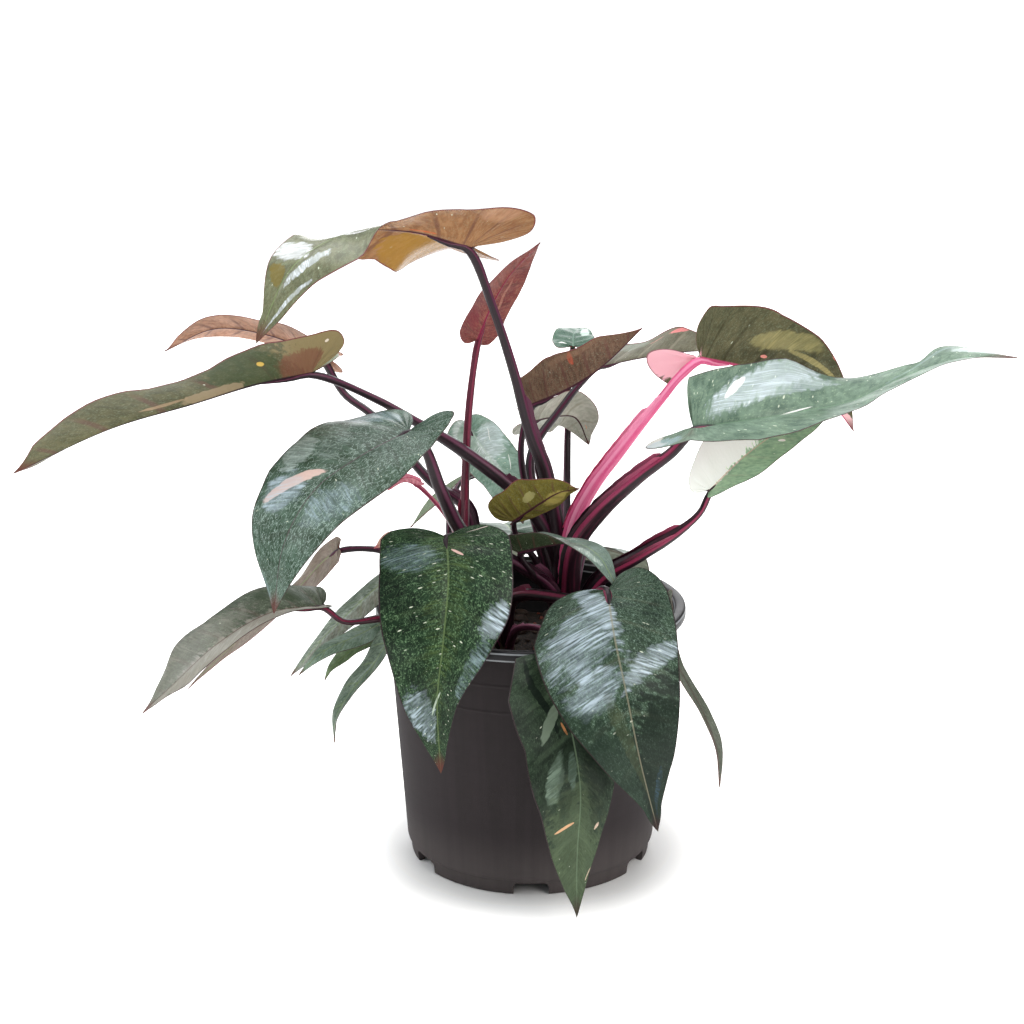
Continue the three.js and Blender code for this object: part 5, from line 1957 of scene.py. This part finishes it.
            # The next two pale bluish patches are a painted sheen.
            Patch(0.557, -0.6, 0.072, 0.44, "#dfeaf0", 0.88, 0.6, -0.15),
            Patch(0.615, -0.55, 0.053, 0.24, "#dbe6ec", 0.62, 0.65, -0.17),
            Patch(0.509, -0.57, 0.013, 0.18, "#f1f1ec", 1, 0.08, -0.06),
            Patch(0.625, -0.03, 0.009, 0.04, "#f1f1ec", 1, 0.08, -0.57),
            # The next two pale bluish patches are a painted sheen.
            Patch(0.916, -0.75, 0.036, 0.28, "#dfe7e6", 0.8, 0.5, -0.1),
            Patch(0.825, -0.48, 0.014, 0.39, "#9db0ac", 0.6, 0.6, -0.13),
            Patch(0.227, 0.87, 0.105, 0.15, "#c9c2bb", 0.85, 0.3, -0.05, face=None),
            # A painted sheen.
            Patch(0.277, 0.77, 0.088, 0.26, "#8fa7b0", 0.7, 0.5, -0.07),
        ),
        stalk_finish=StalkFinish(skin="#1d0c15", edge="#a23a5e", freckle="#3a1622"),
    ),
    Leaf(
        "half_white", Root.MAIN, Slot.PALE, width=66,
        spine=((120, -25, 269), (145, -12, 290), (180, 0, 311), (217, 5, 325)), left=(50, 40, 30),
        right=(-5,), full_left=(1, 0.5, 0.5, 0.5, 0.6, 0.8, 0.95, 1, 1, 1, 1),
        full_right=(1, 0.35, 0.3, 0.25, 0.3, 0.58, 0.74, 0.92, 1, 1, 1), reach=(0.5, 0.3), curl=-10,
        thick=(6, 5.8, 5.5, 5.2, 4.6, 2.6, 2),
        stalk=((28, -8, 160), (47, -18, 204), (74, -25, 224), (101, -27, 242), (114, -26, 254)), sheath=0.8,
        finish=replace(
            # A stronger painted glow lifts this leaf, which stands in shade.
            GREEN_LEAF, glow=0.25, top="#9cbd97", top_dark="#719277", midrib="#c9a695", specks=0.2,
        ),
        patches=(
            Patch(0.38, -0.62, 0.55, 0.68, "#eef1ea", 1, 0.02, face=None),
            Patch(0.717, 0.47, 0.006, 0.11, "#f4f2ea", 1, 0.1),
        ),
        stalk_finish=StalkFinish(skin="#1c0c16", edge="#a03659", freckle="#391523", blush=0.18),
    ),
    Leaf(
        "front_left", Root.MAIN, Slot.GREEN, width=94,
        spine=((-56, -72, 250), (-54, -92, 230), (-57, -112, 193), (-61, -120, 155), (-59, -124, 106)),
        left=(10, 5, 0), right=(10, 5, 0), full_left=(1, 1, 1, 1, 0.98, 0.9, 0.9, 0.78, 0.62, 0.65, 1),
        full_right=(1, 1, 1, 1, 1, 0.96, 0.96, 1.02, 1.1, 1.15, 1), reach=(0.33, 0.28), slim=0.2, curl=-25,
        thick=(5.5, 5.4, 5, 4.2, 3),
        stalk=((20, -8, 160), (14, -20, 197), (-11, -40, 223), (-35, -58, 240)),
        finish=replace(
            GREEN_LEAF, margin="#34202a", top="#1e3320", top_dark="#0d190f", midrib="#617449",
            fleck="#6f8f68", specks=0.35, flecks=0.9, gloss=0.15, wrinkle_sheen=0.3,
        ),
        patches=(
            Patch(0.5, 0, 0.5, 0.35, "#62783f", 0.3, 0.9),
            Patch(0.498, -0.15, 0.006, 0.09, "#d9b3a8", 0.95, 0.05, -0.09),
            Patch(0.271, -0.67, 0.006, 0.26, "#d5c4bb", 0.9, 0.3, 0.02),
            # The next four pale bluish patches are a painted sheen.
            Patch(0.621, -0.82, 0.039, 0.2, "#c3d3dc", 0.95, 0.85, 0.07),
            Patch(0.72, -0.83, 0.063, 0.18, "#8ea3a8", 0.7, 0.9, -0.04),
            Patch(0.488, 0.55, 0.051, 0.42, "#8a9fa6", 0.65, 0.85, -0.06),
            Patch(0.84, 0.55, 0.057, 0.42, "#b2c3cc", 0.8, 0.85, -0.06),
            Patch(0.826, 0.05, 0.006, 0.2, "#b9c7b4", 0.8, 0.2, 0.12),
        ),
    ),
    Leaf(
        "front_right", Root.FRONT, Slot.GREEN, width=100,
        spine=((48, -104, 224), (52, -132, 200), (58, -152, 174), (67, -160, 131), (80, -152, 78)),
        left=(0,), right=(-22, -8, 0), full_left=(1, 1, 1, 0.9, 0.89, 0.86, 0.82, 0.85, 0.95, 0.7, 1),
        full_right=(1, 1, 1, 0.97, 0.94, 1.1, 1.03, 1, 0.84, 0.6, 1), lobes=(0, 10), reach=(0.7, 0.2),
        slim=0.1, curl=-20, thick=(5, 4.8, 4.4, 4, 3),
        stalk=((-17, -25, 155), (-12, -38, 197), (32, -74, 208)),
        finish=replace(
            GREEN_LEAF, tip="#2a1518", margin="#2c1c20", top="#374938", top_dark="#1a271e",
            midrib="#827d68", fleck="#7d9684", specks=0.15, flecks=0.85, gloss=0.12, wrinkle_sheen=0.3,
        ),
        patches=(
            # The next three pale bluish patches are a painted sheen above the crease.
            Patch(0.554, 0.45, 0.086, 0.46, "#b9c9d3", 0.8, 0.85, 0.02),
            Patch(0.666, 0.43, 0.037, 0.44, "#b9c9d3", 0.8, 0.8),
            Patch(0.621, -0.52, 0.026, 0.53, "#c3d1da", 0.85, 0.8, 0.12),
            # The next two are painted shade over the blade below the crease.
            Patch(1.02, 0.6, 0.33, 1.6, "#1b2a1f", 0.8, 0.12, -0.1),
            Patch(1.02, -0.6, 0.37, 1.6, "#141f17", 0.9, 0.12, 0.12),
            Patch(0.784, 0.2, 0.086, 0.18, "#4b5238", 0.5, 0.5, -0.31),
            # A painted bluish reflection, and after it a painted sheen.
            Patch(0.883, -0.62, 0.05, 0.16, "#3f5a6e", 0.45, 0.8, 0.25),
            Patch(0.317, 0.47, 0.09, 0.59, "#bccbd5", 0.9, 0.75, -0.47),
        ),
        stalk_finish=StalkFinish(skin="#160b11", edge="#7d2c48", freckle="#31161f", blush=0.15),
    ),
    Leaf(
        "hanging", Root.FRONT, Slot.GREEN, width=58,
        spine=((19, -112, 185), (23, -121, 149), (31, -131, 99), (29, -139, 53), (29, -145, 14)),
        left=(14, 6, 0), right=(0,), full_right=(1, 1, 1.05, 1.1, 1.2, 1.4, 1.15, 1.4, 1.35, 1.5, 1),
        reach=(0.35, 0.05), curl=-8, thick=(3.4, 2.8, 2.4, 2),
        stalk=((-17, -25, 150), (-9, -52, 180), (12, -88, 190)),
        finish=replace(
            GREEN_LEAF, veined=0.15, tip="#33201c", margin="#2f2226", top="#2c3a2b", top_dark="#162017",
            midrib="#66795f", fleck="#5b7158", specks=0.08, flecks=0.4, gloss=0.15,
        ),
        patches=(
            # A painted shade on the right half.
            Patch(0.521, 0.53, 0.023, 0.29, "#0c1611", 0.95, 0.1, -0.38),
            Patch(0.593, 0.42, 0.017, 0.24, "#73826f", 0.85, 0.15, 0.07),
            Patch(0.584, 0.15, 0.011, 0.06, "#d08a4f", 0.9, 0.2, -0.19),
            Patch(0.621, 0.15, 0.006, 0.06, "#c58454", 0.9, 0.2, -0.25),
            Patch(0.696, 0.53, 0.031, 0.26, "#7d917f", 0.75, 0.6, 0.09),
            Patch(0.95, 0, 0.24, 1.5, "#5c6c4e", 0.6, 0.4),
            # The next two are painted shade on either side of the midrib.
            Patch(0.62, -0.35, 0.14, 0.5, "#141e16", 0.85, 0.6, -0.2),
            Patch(0.7, 0.25, 0.05, 0.35, "#141e16", 0.7, 0.6, 0.2),
            Patch(0.697, 0.13, 0.029, 0.11, "#6a7f70", 0.6, 0.6, 0.12),
            Patch(0.787, 0.48, 0.003, 0.3, "#d2a47c", 0.9, 0, -0.01),
            Patch(0.867, -0.9, 0.006, 0.07, "#e3c7b0", 0.9, 0.4, 0.25),
            Patch(0.775, -0.7, 0.006, 0.07, "#e3c7b0", 0.9, 0.4, 0.13),
        ),
        stalk_finish=StalkFinish(skin="#4e2237", edge="#a05a76", freckle="#2c1420", blush=0.25),
    ),
    Leaf(
        "young_olive", Root.MAIN, Slot.OLIVE, width=40,
        spine=((-12, -25, 248), (6, -30, 262), (19, -35, 271), (32, -38, 274)), left=(-60, -50, -50),
        right=(60, 60, 40), full_left=(0.1, 0.1, 0.1, 0.12, 0.15, 0.32, 0.5, 0.75, 1, 1, 1),
        full_right=(1, 1, 1.15, 1.3, 1.2, 1.2, 1.25, 1.25, 1.5, 2, 1), reach=(0.5, 1), curl=10, wave=(1, 2),
        thick=(3.5, 1.6), stalk=((22, -2, 165), (4, -10, 214), (-10, -20, 236)),
        finish=replace(OLIVE_LEAF, under="#74692f", under_dark="#575022", midrib_under="#3f1c28"),
        patches=(
            Patch(0.66, 0.4, 0.046, 0.15, "#a19b66", 0.85, 0.1, 0.06, face=Face.UNDER),
            Patch(0.796, -0.33, 0.108, 0.51, "#b0a05a", 0.8, 0.3, 0.04, face=Face.UNDER),
            Patch(0.933, 0.87, 0.006, 0.15, "#e9a08c", 0.8, 0.2, 0.12, face=Face.UNDER),
        ),
    ),
    Leaf(
        "young_front", Root.MAIN, Slot.GREEN, width=40,
        spine=((-8, -45, 232), (11, -52, 239), (28, -65, 244), (43, -80, 240), (56, -92, 220)),
        left=(30, 0, -5), right=(60, 30, -10), full_left=(1, 1, 1, 1, 1, 0.9, 0.4, 0.6, 0.9, 1, 1),
        reach=(0.5, 0.5), curl=-10, wave=(1, 2), thick=(3.5, 1.8),
        stalk=((22, -4, 165), (10, -20, 197), (-1, -38, 217)),
        finish=replace(
            GREEN_LEAF, top="#6b7b73", top_dark="#4f6057", under="#3a4530", under_dark="#2a3322",
            specks=0.2,
        ),
        patches=(
            Patch(0.796, 0.67, 0.051, 0.29, "#c9d6cc", 0.7, 0.7, -0.17),
            Patch(0.567, -0.1, 0.006, 0.11, "#54603a", 0.7, 0.2, 0.25, face=Face.UNDER),
        ),
    ),
    Leaf(
        "lower_left", Root.LEFT, Slot.GREEN, width=58,
        spine=((-139, -60, 199), (-172, -75, 199), (-205, -90, 183), (-237, -95, 154), (-256, -95, 136)),
        left=(14, 0, 8), right=(25, 25, 10), full_left=(0.5, 0.4, 0.4, 0.4, 0.4, 0.35, 0.4, 0.6, 1, 1, 1),
        full_right=(1, 1, 1, 1, 0.9, 0.85, 0.97, 1.1, 1.85, 2.3, 1), reach=(0.2, 0.3),
        thick=(4.5, 4.3, 4, 3.6, 2.2, 2),
        stalk=((-45, 6, 155), (-70, -25, 182), (-99, -58, 190), (-125, -60, 188)), sheath=0.6,
        finish=replace(
            GREEN_LEAF, veined=0.25, top="#575e50", top_dark="#3b4236", midrib="#5a3a38", gloss=0.12,
        ),
        patches=(
            Patch(0.72, -0.5, 0.42, 0.56, "#a59e93", 0.8, 0.3, face=None),
            Patch(0.82, 0.5, 0.2, 0.6, "#8b897e", 0.7, 0.5),
            Patch(0.735, -0.42, 0.08, 0.64, "#a8a79f", 0.6, 0.7, 0.16),
            Patch(0.527, 0.57, 0.069, 0.33, "#33442f", 0.85, 0.4, 0.06),
        ),
        stalk_finish=StalkFinish(skin="#2a0d18", edge="#8e2246", freckle="#431828", blush=0.4),
    ),
    Leaf(
        "lower_left_back", Root.LEFT, Slot.BROWN, width=26,
        spine=((-133, -6, 222), (-145, -2, 211), (-163, 0, 191), (-197, 2, 161), (-242, -2, 118)),
        left=(-30,), right=(40,), reach=(0.15, 0.15), thick=(4, 2),
        stalk=((-45, 8, 160), (-70, 0, 200), (-100, -4, 220)),
        finish=replace(
            BROWN_LEAF, under="#84766a", under_dark="#6a5c50", top="#84756a", top_dark="#66574d",
        ),
    ),
    Leaf(
        "side_upper", Root.LEFT, Slot.GREEN, width=42,
        spine=((-93, -22, 209), (-107, -28, 200), (-123, -36, 187), (-142, -46, 170), (-163, -52, 146)),
        left=(-20,), right=(10,), full_left=(1, 1, 1, 1, 0.8, 0.6, 0.6, 0.6, 0.8, 1), full_right=(0.6,),
        wave=(1, 2), thick=(3.5, 1.8), stalk=((-45, 6, 155), (-70, -18, 195)),
        finish=replace(GREEN_LEAF, veined=0.3, top="#a0aba0", top_dark="#556156"),
        patches=(
            Patch(0.667, 0.2, 0.006, 0.26, "#a8b8ac", 0.7, 0.5, 0.04),
            Patch(0.45, 0.55, 0.5, 0.4, "#475a46", 0.7, 0.6),
            Patch(0.5, -0.6, 0.5, 0.4, "#7d7168", 0.6, 0.6),
        ),
    ),
    Leaf(
        "side_middle", Root.LEFT, Slot.GREEN, width=30,
        spine=((-91, -55, 190), (-118, -62, 178), (-139, -70, 170), (-155, -74, 155)), left=(-20,),
        right=(10,), full_left=(1, 1, 1, 0.8, 0.7, 0.7, 0.75, 0.8, 1),
        full_right=(0.5, 0.5, 0.5, 0.5, 0.5, 0.9, 1, 1, 1), wave=(1, 2), thick=(3, 1.6),
        stalk=((-45, 4, 155), (-68, -30, 188)),
        finish=replace(GREEN_LEAF, veined=0.3, top="#899f8d", top_dark="#495c4c", specks=0.3),
        patches=(Patch(0.663, 0, 0.053, 1.1, "#a5b8ae", 0.6, 0.7, 0.08),),
    ),
    Leaf(
        "side_lower", Root.LEFT, Slot.GREEN, width=30,
        spine=((-89, -84, 191), (-106, -92, 166), (-119, -96, 151), (-128, -99, 135), (-130, -99, 117)),
        left=(12,), right=(10,), full_left=(0.6,), wave=(1, 2), thick=(3, 1.6),
        stalk=((-45, 2, 155), (-66, -45, 192)),
        finish=replace(GREEN_LEAF, veined=0.3, top="#6b7c6c", top_dark="#39493b"),
        patches=(Patch(0.668, 0.13, 0.027, 0.22, "#a9b8b0", 0.6, 0.7, 0.37),),
    ),
    Leaf(
        "side_under", Root.LEFT, Slot.GREEN, width=26,
        spine=((-109, -44, 169), (-119, -47, 165), (-127, -50, 159), (-135, -52, 152), (-140, -52, 143)),
        left=(-10, -15, -15), right=(10,), full_left=(0.5,), reach=(0.2, 0.2), wave=(1, 2), thick=(3, 1.6),
        stalk=((-45, 5, 158), (-72, -20, 193), (-92, -36, 195)),
        finish=replace(GREEN_LEAF, top="#738864", top_dark="#566b4a"),
    ),
    Leaf(
        "pink_curled", Root.LEFT, Slot.PINK, width=16,
        spine=((-77, -15, 271), (-86, -18, 274), (-97, -20, 268)), left=(20,), right=(20,), curl=20,
        wave=(0.5, 1), thick=(3, 1.4), stalk=((-45, 6, 165), (-48, 2, 220), (-58, -6, 246)),
        finish=PINK_LEAF,
        stalk_finish=StalkFinish(skin="#a8435f", edge="#d97a92", freckle="#6e2a40", blush=0.3),
    ),
    Leaf(
        "small_olive", Root.LEFT, Slot.OLIVE, width=30,
        spine=((-38, 95, 251), (-55, 93, 240), (-72, 88, 226), (-88, 84, 212)), left=(20,), right=(20,),
        full_right=(1, 0.5, 0.4, 0.4, 0.5, 0.7, 1, 1, 1), reach=(0.3, 0.3), curl=-10, wave=(1, 1),
        thick=(3, 1.6), stalk=((-45, 12, 160), (-58, 36, 225), (-51, 70, 249)),
        finish=replace(GREY_LEAF, under="#6c7357", under_dark="#525a42", top="#6c7860", top_dark="#55604c"),
    ),
    Leaf(
        "tan_behind", Root.FRONT, Slot.BROWN, width=28,
        spine=((-62, -44, 213), (-80, -46, 231), (-94, -48, 240), (-105, -50, 236)), left=(-30,),
        right=(40,), full_right=(1, 1, 1, 1, 1, 1.1, 1.3, 1.5, 1.5, 1.5, 1), curl=-10, wave=(1, 1),
        thick=(3, 1.6), stalk=((-18, -25, 150), (-45, -38, 205)),
        finish=replace(
            PINK_LEAF, top="#d9b3a2", top_dark="#c39585", under="#dcb8a8", under_dark="#c59a8b",
            margin="#9c5a50", midrib="#b98676", midrib_under="#b98676",
        ),
    ),
    Leaf(
        "lower_right", Root.MAIN, Slot.PALE, width=26,
        spine=((88, -64, 204), (96, -76, 166), (113, -84, 134), (124, -82, 105), (127, -78, 76)),
        left=(10,), right=(10,), full_left=(1, 1, 1, 0.8, 0.5, 0.35, 0.25, 0.45, 0.75, 0.9, 1),
        full_right=(1, 1, 1, 0.6, 0.5, 0.4, 0.4, 0.3, 0.3, 0.5, 1), reach=(0.3, 0.3), curl=-10, wave=(1, 1),
        thick=(4, 2), stalk=((28, -6, 155), (50, -32, 190), (68, -54, 205)),
        finish=replace(GREY_LEAF, top="#575a50", top_dark="#43473e", midrib="#4a3a36"),
        patches=(Patch(0.818, 0.57, 0.061, 0.48, "#463631", 0.85, 0.3, 0.05),),
    ),
    Leaf(
        "back_low", Root.LEFT, Slot.GREY, width=78,
        spine=((-12, 86, 208), (-20, 114, 206), (-30, 142, 178), (-36, 155, 130), (-36, 159, 92)),
        left=(10,), right=(10,), curl=-10, wave=(1, 1), thick=(3.5, 1.8),
        stalk=((-43, 14, 155), (-30, 50, 192)),
        finish=GREEN_LEAF,
    ),
    Leaf(
        "back_low_right", Root.MAIN, Slot.GREEN, width=70,
        spine=((48, 100, 192), (56, 118, 184), (62, 130, 150), (64, 133, 105), (62, 130, 66)), left=(5,),
        right=(5,), reach=(0.8, 0.8), curl=-20, thick=(4.5, 2.2),
        stalk=((26, 4, 160), (36, 45, 198), (44, 78, 200)),
        finish=GREEN_LEAF,
    ),
)


def main() -> None:
    """Builds the studio and the plant."""
    logging.basicConfig(level=logging.INFO, format="%(name)s %(message)s")
    Studio().build()
    pot = Pot()
    pot.build()
    PottingMix(pot).build()
    for cane in CANES:
        cane.build()
    for seed, leaf in enumerate(LEAVES):
        leaf.build(seed)


if __name__ == "__main__":
    main()
